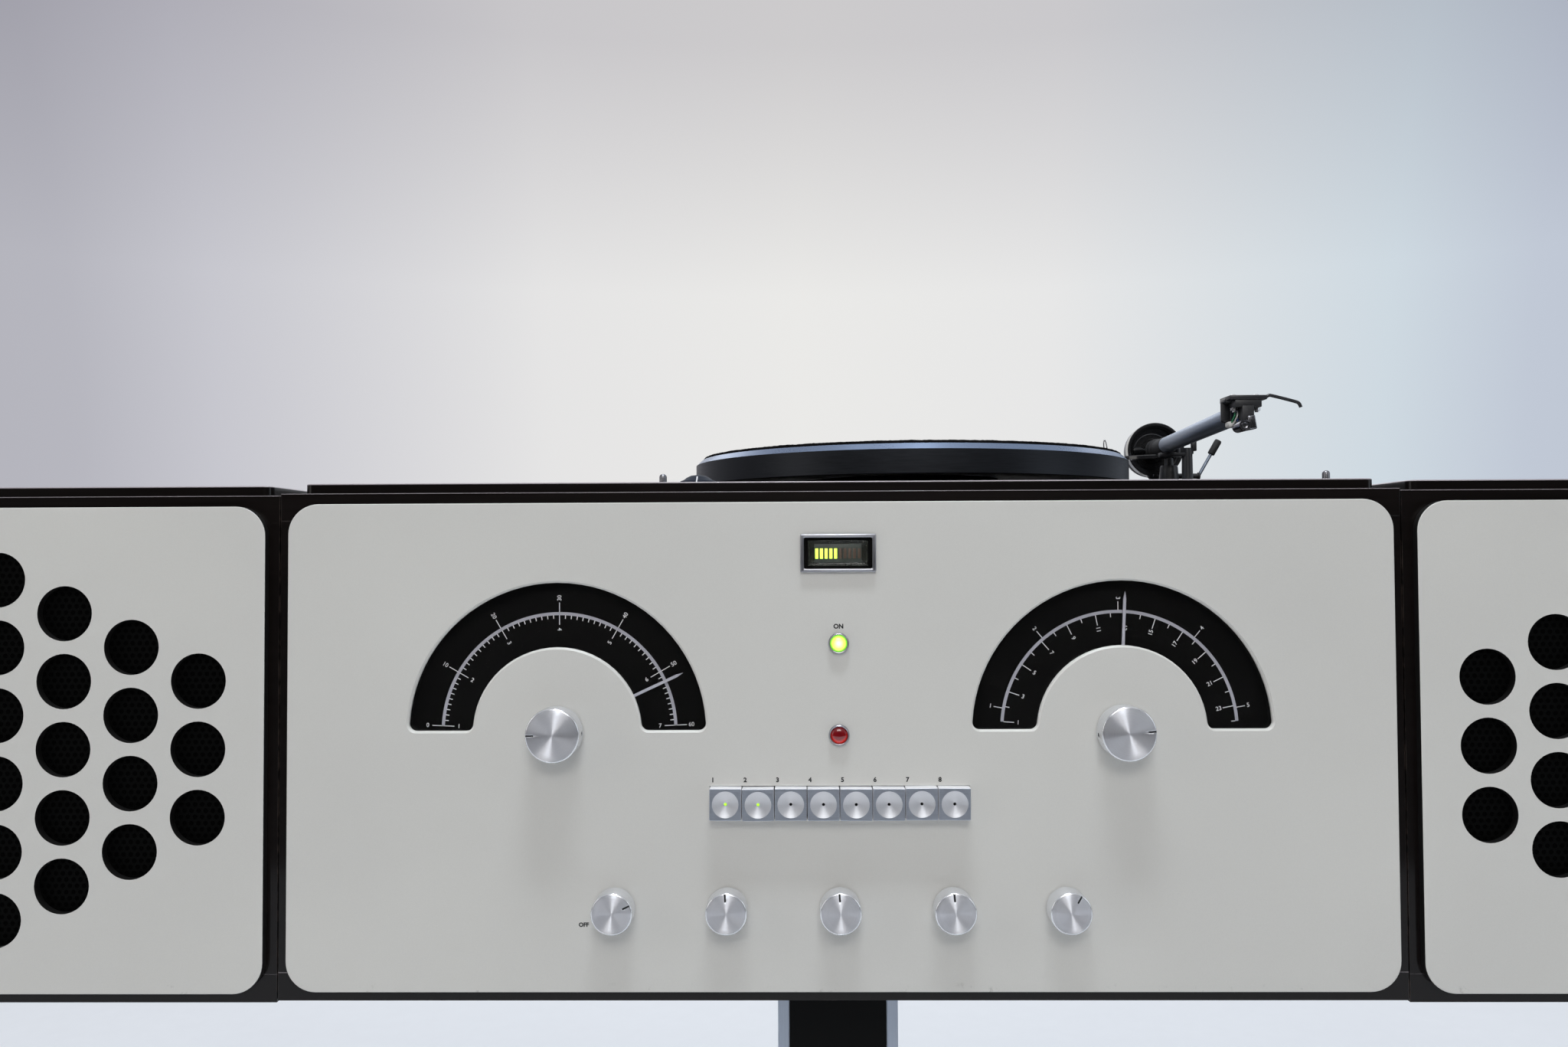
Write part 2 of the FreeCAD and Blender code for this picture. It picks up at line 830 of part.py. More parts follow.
def make_key_switch_bank():
    y0 = front + key_tail + bank_gap
    reach = key_count * key_pitch / 2 + bank_margin
    bank = box(-reach, reach, y0, y0 + bank_depth, key_z - bank_height / 2, key_z + bank_height / 2)
    posts = [rod_y(side * (reach - bank_post_radius), key_z, bank_post_radius, front, y0) for side in SIDES]
    bank = fuse_all([bank] + posts)
    s = stem_size / 2 + stem_clearance
    for step in range(key_count):
        x = key_x(step)
        bank = bank.cut(box(x - s, x + s, y0 - cut_over, y0 + bank_bore_depth, key_z - s, key_z + s))
    export("key_switch_bank", bank)


# Meter and lamps

def make_bezels():
    y0 = face - bezel_proud
    w = bezel_width / 2
    h = bezel_height / 2
    rim = box(-w, w, y0, face, meter_z - h, meter_z + h)
    rim = rim.makeChamfer(bezel_chamfer, edges_on(rim, "Y", y0))
    ow = meter_opening_width / 2
    oh = meter_opening_height / 2
    sleeve = box(-ow - bezel_wall, ow + bezel_wall, face, front,
                 meter_z - oh - bezel_wall, meter_z + oh + bezel_wall)
    opening = box(-ow, ow, y0 - cut_over, front + cut_over, meter_z - oh, meter_z + oh)
    solids = [fuse_all([rim, sleeve]).cut(opening)]
    for z in lamp_levels:
        ring = rod_y(0, z, lamp_bezel_radius, face - lamp_proud, face)
        ring = ring.makeChamfer(bezel_chamfer, edges_on(ring, "Y", face - lamp_proud))
        ring = fuse_all([ring, rod_y(0, z, lamp_sleeve_radius, face, front)])
        solids.append(ring.cut(rod_y(0, z, lamp_bore_radius, face - lamp_proud - cut_over, front + cut_over)))
    export("bezels", *solids)


def make_lamp_lenses():
    lenses = []
    for z in lamp_levels:
        y0 = face - lamp_lens_proud
        body = rod_y(0, z, lamp_lens_radius, y0, front)
        lenses.append(fuse_all([body, dome_y(0, z, lamp_lens_radius, lamp_dome, y0)]))
    export("lamp_lenses", *lenses)


def make_level_meter_module():
    w = meter_opening_width / 2 - bezel_fit
    h = meter_opening_height / 2 - bezel_fit
    y0 = face - bezel_proud + meter_face_recess
    body = box(-w, w, y0, front + meter_depth, meter_z - h, meter_z + h)
    flange = box(-w - meter_flange, w + meter_flange, front, front + meter_flange_thickness,
                 meter_z - h - meter_flange, meter_z + h + meter_flange)
    export("level_meter_module", fuse_all([body, flange]))


# Inside and back of the cabinet

def make_main_board():
    floor = cab_z + board
    x0 = circuit_from_end - half
    x1 = x0 + circuit_width
    y0 = front + circuit_back
    y1 = y0 + circuit_depth
    z0 = floor + circuit_post_height
    z1 = z0 + circuit_thickness
    inset = circuit_post_inset
    solids = [box(x0, x1, y0, y1, z0, z1)]
    for x in (x0 + inset, x1 - inset):
        for y in (y0 + inset, y1 - inset):
            solids.append(rod_z(x, y, circuit_post_radius, floor, z0))
    for step in range(capacitor_count):
        solids.append(rod_z(x1 - capacitor_pitch * (step + 1), y0 + capacitor_pitch, capacitor_radius,
                            z1, z1 + capacitor_height))
    sink_x = x0 + inset
    sink_y = y1 - inset - heat_sink_depth
    sink_back = sink_y + heat_sink_depth - heat_sink_fin
    solids.append(box(sink_x, sink_x + heat_sink_width, sink_back, sink_back + heat_sink_fin,
                      z1, z1 + heat_sink_height))
    fin_step = (heat_sink_width - heat_sink_fin) / (heat_sink_count - 1)
    for step in range(heat_sink_count):
        fx = sink_x + step * fin_step
        solids.append(box(fx, fx + heat_sink_fin, sink_y, sink_back, z1, z1 + heat_sink_height))
    export("main_board", fuse_all(solids))


def make_power_transformer():
    floor = cab_z + board
    x0 = transformer_x - transformer_width / 2
    x1 = transformer_x + transformer_width / 2
    y0 = front + transformer_back
    y1 = y0 + transformer_depth
    core = box(x0, x1, y0, y1, floor, floor + transformer_height)
    coil = box(x0 + coil_inset, x1 - coil_inset, y0 - coil_overhang, y1 + coil_overhang,
               floor + coil_inset, floor + transformer_height - coil_inset)
    export("power_transformer", fuse_all([core, coil]))


def make_rear_terminals():
    y1 = front + shell_depth
    y0 = y1 - terminal_plate
    z = terminal_z()
    w = terminal_width / 2
    h = terminal_height / 2
    plate = box(-w, w, y0, y1, z - h, z + h)
    solids = [plate]
    jacks = []
    for row in range(jack_rows):
        for column in range(jack_columns):
            jx = (column - (jack_columns - 1) / 2) * jack_pitch
            jz = z + (row - (jack_rows - 1) / 2) * jack_pitch
            solids.append(rod_y(jx, jz, jack_radius, y1, y1 + jack_length))
            jacks.append(rod_y(jx, jz, jack_bore_radius, y0 + terminal_plate / 2,
                               y1 + jack_length + cut_over))
    iw = inlet_width / 2
    ih = inlet_height / 2
    wall = inlet_wall
    solids.append(box(inlet_offset - iw - wall, inlet_offset + iw + wall, y1 - inlet_depth - wall, y0,
                      z - ih - wall, z + ih + wall))
    recess = box(inlet_offset - iw, inlet_offset + iw, y1 - inlet_depth, y1 + cut_over, z - ih, z + ih)
    export("rear_terminals", cut_all(fuse_all(solids), jacks + [recess]))


def make_cabinet_fasteners():
    solids = [rear_screw(x, z) for x, z in rear_screw_places(0, cab_z, cabinet_width)]
    for x, y in column_bolt_places():
        top = cab_z + board
        head = rod_z(x, y, bolt_head_radius, top, top + bolt_head)
        solids.append(fuse_all([head, rod_z(x, y, bolt_radius, top - bolt_length, top)]))
        foot = glide_height
        low_head = rod_z(x, y, bolt_head_radius, foot - bolt_head, foot)
        solids.append(fuse_all([low_head, rod_z(x, y, bolt_radius, foot, foot + bolt_length)]))
    for side in SIDES:
        for stud_back in stud_backs:
            y = front + stud_back
            z = stud_z
            reach = speaker_gap + slot_wall + slot_gap
            start = side * (half - stud_seat)
            neck = side * (half + reach)
            tip = side * (half + reach + stud_head)
            shank = rod_x(y, z, stud_radius, min(start, neck), max(start, neck))
            head = rod_x(y, z, stud_head_radius, min(neck, tip), max(neck, tip))
            solids.append(fuse_all([shank, head]))
    export("cabinet_fasteners", *solids)


# Turntable

def make_platter_bearing():
    x, y = platter_x, platter_y
    flange = rod_z(x, y, bearing_flange_radius, deck_top, deck_top + bearing_flange)
    tube = rod_z(x, y, bearing_radius, deck_top - bearing_length, deck_top)
    floor = deck_top + subplatter_gap - axle_length
    bore = rod_z(x, y, axle_radius + running_fit, floor, deck_top + bearing_flange + cut_over)
    export("platter_bearing", fuse_all([flange, tube]).cut(bore))


def make_subplatter():
    x, y = platter_x, platter_y
    z0 = deck_top + subplatter_gap
    z1 = deck_top + platter_gap + platter_thickness - platter_web
    mat_top = deck_top + platter_gap + platter_thickness + mat_thickness
    straight = mat_top + spindle_height - spindle_dome
    disc = rod_z(x, y, subplatter_radius, z0, z1)
    axle = rod_z(x, y, axle_radius, z0 - axle_length, z0)
    root = rod_z(x, y, spindle_radius + spindle_step, z1, mat_top)
    spindle = rod_z(x, y, spindle_radius, mat_top, straight)
    tip = dome_z(x, y, spindle_radius, spindle_dome, straight)
    export("subplatter", fuse_all([disc, axle, root, spindle, tip]))


def make_platter():
    x, y = platter_x, platter_y
    z0 = deck_top + platter_gap
    z1 = z0 + platter_thickness
    side_top = z1 - platter_chamfer_height
    side = rod_z(x, y, platter_radius, z0, side_top)
    bevel = Part.makeCone(platter_radius, platter_radius - platter_chamfer_width, platter_chamfer_height,
                          V(x, y, side_top), ALONG_Z)
    recess = rod_z(x, y, platter_recess_radius, z0 - cut_over, z1 - platter_web)
    bore_radius = spindle_radius + spindle_step + spindle_fit
    hole = rod_z(x, y, bore_radius, z0, z1 + cut_over)
    export("platter", cut_all(fuse_all([side, bevel]), [recess, hole]))
    mat = rod_z(x, y, mat_radius, z1, z1 + mat_thickness)
    export("platter_mat", mat.cut(rod_z(x, y, bore_radius, z1 - cut_over, z1 + platter_thickness)))


def make_motor():
    top = cab_top - board
    body = rod_z(motor_x, motor_y, motor_radius, top - motor_length, top)
    bore = rod_z(motor_x, motor_y, pulley_shaft_radius + running_fit, top - motor_length / 2, top + cut_over)
    export("drive_motor", body.cut(bore))
    z0 = deck_top + belt_rise - pulley_flange
    z1 = z0 + belt_height + 2 * pulley_flange
    wheel = rod_z(motor_x, motor_y, pulley_radius, z0, z1)
    rims = [rod_z(motor_x, motor_y, pulley_radius + pulley_flange, z, z + pulley_flange / 2)
            for z in (z0, z1 - pulley_flange / 2)]
    shaft = rod_z(motor_x, motor_y, pulley_shaft_radius, z0 - pulley_shaft_depth - platter_gap, z0)
    export("motor_pulley", fuse_all([wheel, shaft] + rims))


def belt_loop(offset):
    # Area inside an open belt round the subplatter and the pulley, at this distance from both.
    big = subplatter_radius + offset
    small = pulley_radius + offset
    z0 = deck_top + belt_rise
    lean = math.acos((big - small) / motor_reach)
    along = math.radians(motor_angle)
    points = []
    large_end = (big, platter_x, platter_y)
    small_end = (small, motor_x, motor_y)
    tangents = ((along + lean, large_end), (along + lean, small_end),
                (along - lean, small_end), (along - lean, large_end))
    for angle, (radius, cx, cy) in tangents:
        points.append(V(cx + radius * math.cos(angle), cy + radius * math.sin(angle), z0))
    outline = Part.Face(Part.makePolygon(points + points[:1])).extrude(V(0, 0, belt_height))
    loops = [rod_z(cx, cy, radius, z0, z0 + belt_height) for radius, cx, cy in (large_end, small_end)]
    return fuse_all([outline] + loops)


def make_drive_belt():
    export("drive_belt", belt_loop(belt_clearance + belt_thickness).cut(belt_loop(belt_clearance)))


def make_speed_knob():
    x = speed_x
    y = front + speed_back
    z0 = deck_top + speed_gap
    rim = rod_z(x, y, speed_radius, z0, deck_top + speed_rim)
    cap = dome_z(x, y, speed_radius, speed_height - speed_rim, deck_top + speed_rim)
    shaft = rod_z(x, y, shaft_radius, z0 - speed_shaft_length, z0)
    export("speed_knob", fuse_all([rim, cap, shaft]))


def make_locating_pins():
    pins = []
    for x in pin_places:
        y = front + pin_back
        top = deck_top + pin_height - pin_dome
        root = rod_z(x, y, pin_root_radius, cab_top, deck_top)
        shank = rod_z(x, y, pin_radius, deck_top, top)
        pins.append(fuse_all([root, shank, dome_z(x, y, pin_radius, pin_dome, top)]))
    export("locating_pins", *pins)


# Tonearm

def along_arm(distance):
    return pivot.add(V(arm_dir).multiply(distance))


def arm_tube_x(y):
    # Where the arm's axis passes this depth.
    return pivot.x + arm_dir.x / arm_dir.y * (y - pivot.y)


def make_tonearm_base():
    y = pivot.y
    top = deck_top + base_thickness
    foot = rod_z(pivot.x, y, base_radius, deck_top, top)
    lift_y = front + pillar_back
    rest_y = front + rest_back
    toe_radius = pillar_radius + rest_radius
    toe = rod_z(rest_x - rest_radius, rest_y + rest_radius, toe_radius, deck_top, top)
    bridge = box(pillar_x - pillar_radius, rest_x + pillar_radius / 2, rest_y, y, deck_top, top)
    post = rod_z(pivot.x, y, arm_pillar_radius, top, deck_top + arm_pillar_top)
    lift = rod_z(pillar_x, lift_y, pillar_radius, top, deck_top + pillar_top)
    rest_level = pivot.z - arm_tube_radius - lift_gap
    rest = Part.makeCone(rest_radius, rest_top_radius, rest_level - rest_bar_thickness - top,
                         V(rest_x, rest_y, top), ALONG_Z)
    tube_x = arm_tube_x(rest_y)
    prong_x = tube_x + arm_tube_radius + rest_side_gap
    bar_y0 = rest_y - rest_bar_width / 2
    bar_y1 = rest_y + rest_bar_width / 2
    bar_x1 = max(rest_x + rest_top_radius, prong_x + rest_prong)
    bar = box(tube_x - arm_tube_radius, bar_x1, bar_y0, bar_y1, rest_level - rest_bar_thickness, rest_level)
    prong = box(prong_x, prong_x + rest_prong, bar_y0, bar_y1, rest_level, rest_level + rest_prong_rise)
    base = fuse_all([foot, bridge, toe, post, lift, rest, bar, prong])
    stem_bore = rod_z(pivot.x, y, yoke_stem_radius + running_fit, deck_top + yoke_stem_seat,
                      deck_top + arm_pillar_top + cut_over)
    lift_bore = rod_z(pillar_x, lift_y, pillar_bore_radius + running_fit, top,
                      deck_top + pillar_top + cut_over)
    lever_x = pillar_x + pillar_radius
    lever_bore = rod_x(lift_y, deck_top + lever_pivot_height, lever_shaft_radius + running_fit,
                       lever_x - lever_shaft_seat / 2, lever_x + lever_shaft_seat)
    export("tonearm_base", cut_all(base, [stem_bore, lift_bore, lever_bore]))


def make_tonearm_yoke():
    start = pivot.sub(V(arm_dir).multiply(ring_width / 2))
    ring = Part.makeCylinder(ring_radius, ring_width, start, arm_dir)
    stem = rod_z(pivot.x, pivot.y, yoke_stem_radius, deck_top + yoke_stem_seat, pivot.z - ring_inner_radius)
    hole = Part.makeCylinder(ring_inner_radius, ring_width, start, arm_dir)
    reach = ring_inner_radius + tilt_axle_seat + running_fit
    side_start = pivot.sub(V(arm_side).multiply(reach))
    axle_hole = Part.makeCylinder(tilt_axle_radius + running_fit, 2 * reach, side_start, arm_side)
    export("tonearm_yoke", cut_all(fuse_all([ring, stem]), [hole, axle_hole]))


def make_tonearm_tube():
    collar = Part.makeCylinder(arm_collar_radius, arm_collar_length, along_arm(-arm_collar_behind), arm_dir)
    tube_end = arm_length - arm_tube_short
    tube = Part.makeCylinder(arm_tube_radius, tube_end, pivot, arm_dir)
    bore = Part.makeCylinder(arm_tube_radius - arm_tube_wall, tube_end, along_arm(arm_collar_length), arm_dir)
    tube = tube.cut(bore)
    stub = Part.makeCylinder(stub_radius, stub_length, pivot, V(arm_dir).negative())
    reach = ring_inner_radius + tilt_axle_seat
    axle = Part.makeCylinder(tilt_axle_radius, 2 * reach, pivot.sub(V(arm_side).multiply(reach)), arm_side)
    plate_z = pivot.z + head_plate_rise
    plate_y0 = head_point.y - head_plate_length * head_overhang_share
    plate_x = head_x + head_plate_offset
    plate = box(plate_x - head_plate_width / 2, plate_x + head_plate_width / 2, plate_y0,
                plate_y0 + head_plate_length, plate_z - head_plate_thickness, plate_z)
    # Strap across the near end of the tube that carries the plate.
    web_x = head_x - arm_tube_radius
    web_y = along_arm(tube_end).y
    web = box(web_x, web_x + head_web_width, web_y - head_web_thickness,
              web_y + head_web_thickness / 2, pivot.z - arm_tube_radius / 2, plate_z - head_plate_thickness)
    finger_z = plate_z - head_plate_thickness / 2
    finger_y = plate_y0 + head_plate_length * finger_place_share
    finger_x = plate_x + head_plate_width / 2
    bend = V(finger_x + finger_reach, finger_y, finger_z - finger_drop / 2)
    lift = rod_between(V(finger_x - finger_radius, finger_y, finger_z), bend, finger_radius)
    tip = rod_between(bend, V(bend.x + finger_drop / 2, finger_y, bend.z - finger_drop), finger_radius)
    knee = Part.makeSphere(finger_radius, bend)
    export("tonearm_tube", fuse_all([collar, tube, stub, axle, plate, web, lift, knee, tip]))


def make_cartridge():
    plate_under = pivot.z + head_plate_rise - head_plate_thickness
    w = cartridge_width / 2
    x = head_x + head_plate_offset
    y1 = head_point.y - head_web_thickness - cartridge_gap
    y0 = y1 - cartridge_length
    mount = box(x - w, x + w, y0, y1, plate_under - cartridge_height, plate_under)
    b = cartridge_body_width / 2
    low = plate_under - cartridge_height - cartridge_body_height
    nose = y0 - cartridge_nose
    tail = y1 - cartridge_nose
    body = box(x - b, x + b, nose, tail, low + b, plate_under - cartridge_height)
    barrel = rod_y(x, low + b, b, nose, tail)
    export("cartridge", fuse_all([mount, body, barrel]))


def make_counterweight():
    back_dir = V(arm_dir).negative()
    start = along_arm(-weight_start)
    disc = Part.makeCylinder(weight_radius, weight_length, start, back_dir)
    dial_start = along_arm(weight_dial_length - weight_start)
    dial = Part.makeCylinder(weight_dial_radius, weight_dial_length, dial_start, back_dir)
    hub_start = along_arm(weight_hub_length + weight_dial_length - weight_start)
    hub = Part.makeCylinder(weight_hub_radius, weight_hub_length, hub_start, back_dir)
    ring_start = along_arm(-weight_start - weight_length / 2)
    groove = Part.makeCylinder(weight_radius + cut_over, weight_groove, ring_start, back_dir)
    groove = groove.cut(Part.makeCylinder(weight_radius - weight_groove, weight_groove, ring_start, back_dir))
    bore = Part.makeCylinder(stub_radius + weight_fit, stub_length, pivot, back_dir)
    export("counterweight", cut_all(fuse_all([disc, dial, hub]), [groove, bore]))


def make_lift():
    lift_y = front + pillar_back
    top = pivot.z - arm_tube_radius - lift_gap
    bar_z = top - lift_bar_thickness
    stem_z = deck_top + pillar_top - lift_stem_depth + base_thickness
    stem = rod_z(pillar_x, lift_y, pillar_bore_radius, stem_z, bar_z)
    # Curved bar about the arm's pivot, so that it lies under the tube all the way in.
    away = V(pillar_x - pivot.x, lift_y - pivot.y, 0)
    outer = away.Length + lift_bar_width / 2
    inner = away.Length - lift_bar_width / 2
    start = math.degrees(math.atan2(away.y, away.x)) - lift_sweep
    foot = V(pivot.x, pivot.y, bar_z)
    bar = Part.makeCylinder(outer, lift_bar_thickness, foot, ALONG_Z, lift_sweep)
    bar = bar.cut(Part.makeCylinder(inner, lift_bar_thickness, foot, ALONG_Z))
    bar.rotate(foot, ALONG_Z, start)
    end = rod_z(pillar_x, lift_y, lift_bar_width / 2, bar_z, top)
    export("lift_platform", fuse_all([stem, bar, end]))


def make_cue_lever():
    y = front + pillar_back
    z = deck_top + lever_pivot_height
    x0 = pillar_x + pillar_radius - lever_shaft_seat / 2
    x1 = x0 + lever_shaft_length
    shaft = rod_x(y, z, lever_shaft_radius, x0, x1)
    lean = math.radians(lever_lean)
    way = V(math.sin(lean), 0, math.cos(lean))
    foot = V(x1 - lever_shaft_radius, y, z)
    stick = Part.makeCylinder(lever_radius, lever_length, foot, way)
    grip_start = foot.add(V(way).multiply(lever_length - sleeve_grip_length))
    grip = Part.makeCylinder(sleeve_grip_radius, sleeve_grip_length, grip_start, way)
    export("cue_lever", fuse_all([shaft, stick, grip]))


# Loudspeakers

def keyhole(side, x_face, y, z):
    # Slot that a stud's neck runs in, with room behind it for the stud's head.
    neck = stud_radius + slot_clearance
    wide = stud_head_radius + slot_clearance
    deep = slot_wall + 2 * slot_gap + stud_head + slot_clearance
    low = z - hang_lift
    pieces = []
    for radius, x0, x1 in ((neck, -cut_over, slot_wall), (wide, slot_wall, deep)):
        a = x_face + side * x0
        b = x_face + side * x1
        pieces.append(rod_x(y, z, radius, min(a, b), max(a, b)))
        pieces.append(box(min(a, b), max(a, b), y - radius, y + radius, low, z))
    a = x_face - side * cut_over
    b = x_face + side * deep
    pieces.append(rod_x(y, low, wide, min(a, b), max(a, b)))
    return fuse_all(pieces)


def driver(x, z, radius, cone_radius, depth, magnet_radius, magnet, y_board):
    # Flange on the board, tapering basket with an open cone, magnet behind.
    y0 = y_board - driver_flange
    flange = rod_y(x, z, radius, y0, y_board)
    basket_end = y_board + depth - magnet
    basket = Part.makeCone(cone_radius, magnet_radius, basket_end - y_board, V(x, y_board, z), ALONG_Y)
    block = rod_y(x, z, magnet_radius, basket_end, basket_end + magnet)
    throat = magnet_radius * cone_throat_share
    hollow = Part.makeCone(cone_radius - driver_wall, throat, basket_end - y0 - driver_wall,
                           V(x, y0, z), ALONG_Y)
    return fuse_all([flange, basket, block]).cut(hollow)


def hole_places(cx, cz):
    places = []
    for column, count in enumerate(hole_columns):
        x = cx + (column - (len(hole_columns) - 1) / 2) * hole_run
        for row in range(count):
            places.append((x, cz + (row - (count - 1) / 2) * hole_rise))
    return places


def make_speaker(name, side):
    cx = side * speaker_x
    z0 = cab_z - speaker_drop
    cz = z0 + cabinet_height / 2
    x0 = cx - speaker_half
    x1 = cx + speaker_half
    boards = carcass(x0, x1, z0)
    inner_face = cx - side * speaker_half
    inner_index = 2 if side > 0 else 3
    for stud_back in stud_backs:
        slot = keyhole(side, inner_face, front + stud_back, stud_z)
        boards[inner_index] = boards[inner_index].cut(slot)
    y_board = front + driver_board_gap
    woofer_z = cz - cabinet_height * woofer_drop_share
    tweeter_z = cz + cabinet_height * tweeter_rise_share
    woofer_cone_radius = woofer_radius - woofer_rim
    tweeter_cone_radius = tweeter_radius - tweeter_rim
    inner = box(x0 + board, x1 - board, y_board, y_board + driver_board,
                z0 + board, z0 + cabinet_height - board)
    for z, radius in ((woofer_z, woofer_cone_radius), (tweeter_z, tweeter_cone_radius)):
        inner = inner.cut(rod_y(cx, z, radius + driver_fit, y_board - cut_over, y_board + woofer_depth))
    rear = rear_plate(cx, z0, speaker_width)
    deck = deck_plate(cx, z0 + cabinet_height, speaker_width)
    export(name + "_speaker_cabinet", *boards, inner, rear, deck)
    baffle = front_plate(cx, z0, speaker_width)
    holes = [rod_y(x, z, hole_radius, face - cut_over, front + cut_over) for x, z in hole_places(cx, cz)]
    baffle = cut_all(baffle, holes)
    export(name + "_speaker_baffle", baffle)
    mesh_w = speaker_half - mesh_margin
    mesh_h = cabinet_height / 2 - mesh_margin
    mesh = box(cx - mesh_w, cx + mesh_w, front, front + mesh_thickness, cz - mesh_h, cz + mesh_h)
    export(name + "_speaker_mesh", mesh)
    woofer = driver(cx, woofer_z, woofer_radius, woofer_cone_radius, woofer_depth, woofer_magnet_radius,
                    woofer_magnet, y_board)
    tweeter = driver(cx, tweeter_z, tweeter_radius, tweeter_cone_radius, tweeter_depth, tweeter_magnet_radius,
                     tweeter_magnet, y_board)
    export(name + "_speaker_drivers", woofer, tweeter)


# Stand

def make_stand():
    y_mid = front + cabinet_depth / 2
    d = column_depth / 2
    w = column_width / 2
    uprights = []
    for side in SIDES:
        a = side * w
        b = side * (w - upright_thickness)
        plate = box(min(a, b), max(a, b), y_mid - d, y_mid + d, base_top, cab_z)
        fronts = [e for e in plate.Edges if e.BoundBox.ZLength > upright_thickness]
        uprights.append(plate.makeChamfer(upright_edge, fronts))
    export("column_uprights", *uprights)
    cw = w - upright_thickness
    cd = d - core_recess
    core = box(-cw, cw, y_mid - cd, y_mid + cd, base_top, cab_z)
    hollow = box(-cw + core_wall, cw - core_wall, y_mid - cd + core_wall, y_mid + cd - core_wall,
                 base_top + core_cap, cab_z - core_cap)
    bores = []
    for x, y in column_bolt_places():
        radius = bolt_radius + fastener_fit
        bores.append(rod_z(x, y, radius, cab_z + board - bolt_length, cab_z + cut_over))
        bores.append(rod_z(x, y, radius, base_top - cut_over, glide_height + bolt_length))
    export("column_core", cut_all(core, [hollow] + bores))
    base = plate_xy(0, y_mid, base_width, base_depth, base_corner, glide_height, base_top)
    base = base.makeFillet(base_edge, edges_on(base, "Z", base_top))
    holes = [rod_z(x, y, bolt_radius + fastener_fit, glide_height - cut_over, base_top + cut_over)
             for x, y in column_bolt_places()]
    export("stand_base", cut_all(base, holes))
    glides = []
    for sx in SIDES:
        for sy in SIDES:
            x = sx * (base_width / 2 - glide_inset)
            y = y_mid + sy * (base_depth / 2 - glide_inset)
            glides.append(rod_z(x, y, glide_radius, 0, glide_height))
    export("floor_glides", *glides)


def main():
    os.makedirs("parts", exist_ok=True)
    make_cabinet_shell()
    make_front_panel()
    make_rear_panel()
    make_top_deck()
    make_clear_windows()
    make_dial_scales()
    make_pointer("tuning_pointer", -dial_spacing / 2, tuning_pointer_angle)
    make_pointer("memory_pointer", dial_spacing / 2, memory_pointer_angle)
    make_control_units()
    make_knobs()
    make_keys()
    make_key_switch_bank()
    make_bezels()
    make_lamp_lenses()
    make_level_meter_module()
    make_main_board()
    make_power_transformer()
    make_rear_terminals()
    make_cabinet_fasteners()
    make_platter_bearing()
    make_subplatter()
    make_platter()
    make_motor()
    make_drive_belt()
    make_speed_knob()
    make_locating_pins()
    make_tonearm_base()
    make_tonearm_yoke()
    make_tonearm_tube()
    make_cartridge()
    make_counterweight()
    make_lift()
    make_cue_lever()
    make_speaker("left", -1)
    make_speaker("right", 1)
    make_stand()


main()
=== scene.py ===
# Radiogram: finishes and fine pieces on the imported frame.
import math
import bpy
from mathutils import Matrix, Vector, noise


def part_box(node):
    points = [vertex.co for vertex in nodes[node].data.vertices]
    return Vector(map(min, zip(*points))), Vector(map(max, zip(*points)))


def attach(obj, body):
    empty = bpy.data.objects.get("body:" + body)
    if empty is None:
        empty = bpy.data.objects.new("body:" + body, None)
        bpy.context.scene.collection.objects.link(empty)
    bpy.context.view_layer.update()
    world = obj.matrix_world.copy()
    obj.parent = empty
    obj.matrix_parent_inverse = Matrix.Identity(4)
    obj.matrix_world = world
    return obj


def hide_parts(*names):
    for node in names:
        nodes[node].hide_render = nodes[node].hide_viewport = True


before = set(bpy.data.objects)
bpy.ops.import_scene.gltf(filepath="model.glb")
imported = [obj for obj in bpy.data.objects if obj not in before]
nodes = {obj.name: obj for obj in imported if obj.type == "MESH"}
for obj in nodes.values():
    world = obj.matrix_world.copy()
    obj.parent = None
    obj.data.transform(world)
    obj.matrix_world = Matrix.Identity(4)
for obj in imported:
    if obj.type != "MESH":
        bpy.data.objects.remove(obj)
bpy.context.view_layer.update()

# Places on the object, in mm
MM = 0.001
FACE_Y = -179.2
SCALE_Y = -171.2
DIAL_X = 152.4
DIAL_Z = 485.0
METER_Z = 581.1
LAMP_ZS = (532.5, 483.3)
SMALL_KNOB_Z = 391.2
DECK_Z = 621.0
TOWARDS_VIEWER = Vector((0, -1, 0))
AWAY = Vector((0, 1, 0))
UP = Vector((0, 0, 1))
RIGHT = Vector((1, 0, 0))

# Bench settings
LEAST_RADIUS = 1e-4
SAME_POINT = 2e-6
BLOCK_SMOOTH = 30
WIRE_SMOOTH = 40
ARC_STEPS = 192


# Bench work: each helper models with the same hand tools

def clear_bench():
    if bpy.context.object and bpy.context.object.mode != "OBJECT":
        bpy.ops.object.mode_set(mode="OBJECT")
    bpy.ops.object.select_all(action="DESELECT")


def pick(piece):
    clear_bench()
    piece.select_set(True)
    bpy.context.view_layer.objects.active = piece


def settle(piece, name):
    # The place goes into the mesh, and the object itself sits at the origin.
    pick(piece)
    bpy.ops.object.transform_apply(location=True, rotation=True, scale=True)
    piece.name = name
    piece.data.name = name
    return piece


def open_mesh():
    bpy.ops.object.mode_set(mode="EDIT")
    bpy.ops.mesh.select_all(action="SELECT")


def close_mesh():
    # Turns every face outwards before the mesh is left.
    bpy.ops.mesh.select_all(action="SELECT")
    bpy.ops.mesh.normals_make_consistent(inside=False)
    bpy.ops.object.mode_set(mode="OBJECT")


def reach(node):
    # A node's lowest and highest corners and its middle, in mm.
    low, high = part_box(node)
    low, high = Vector(low) / MM, Vector(high) / MM
    return low, high, (low + high) / 2


def stand_along(piece, at, direction):
    turn = direction.to_track_quat("Z", "Y").to_matrix().to_4x4()
    piece.matrix_world = Matrix.Translation(Vector(at) * MM) @ turn


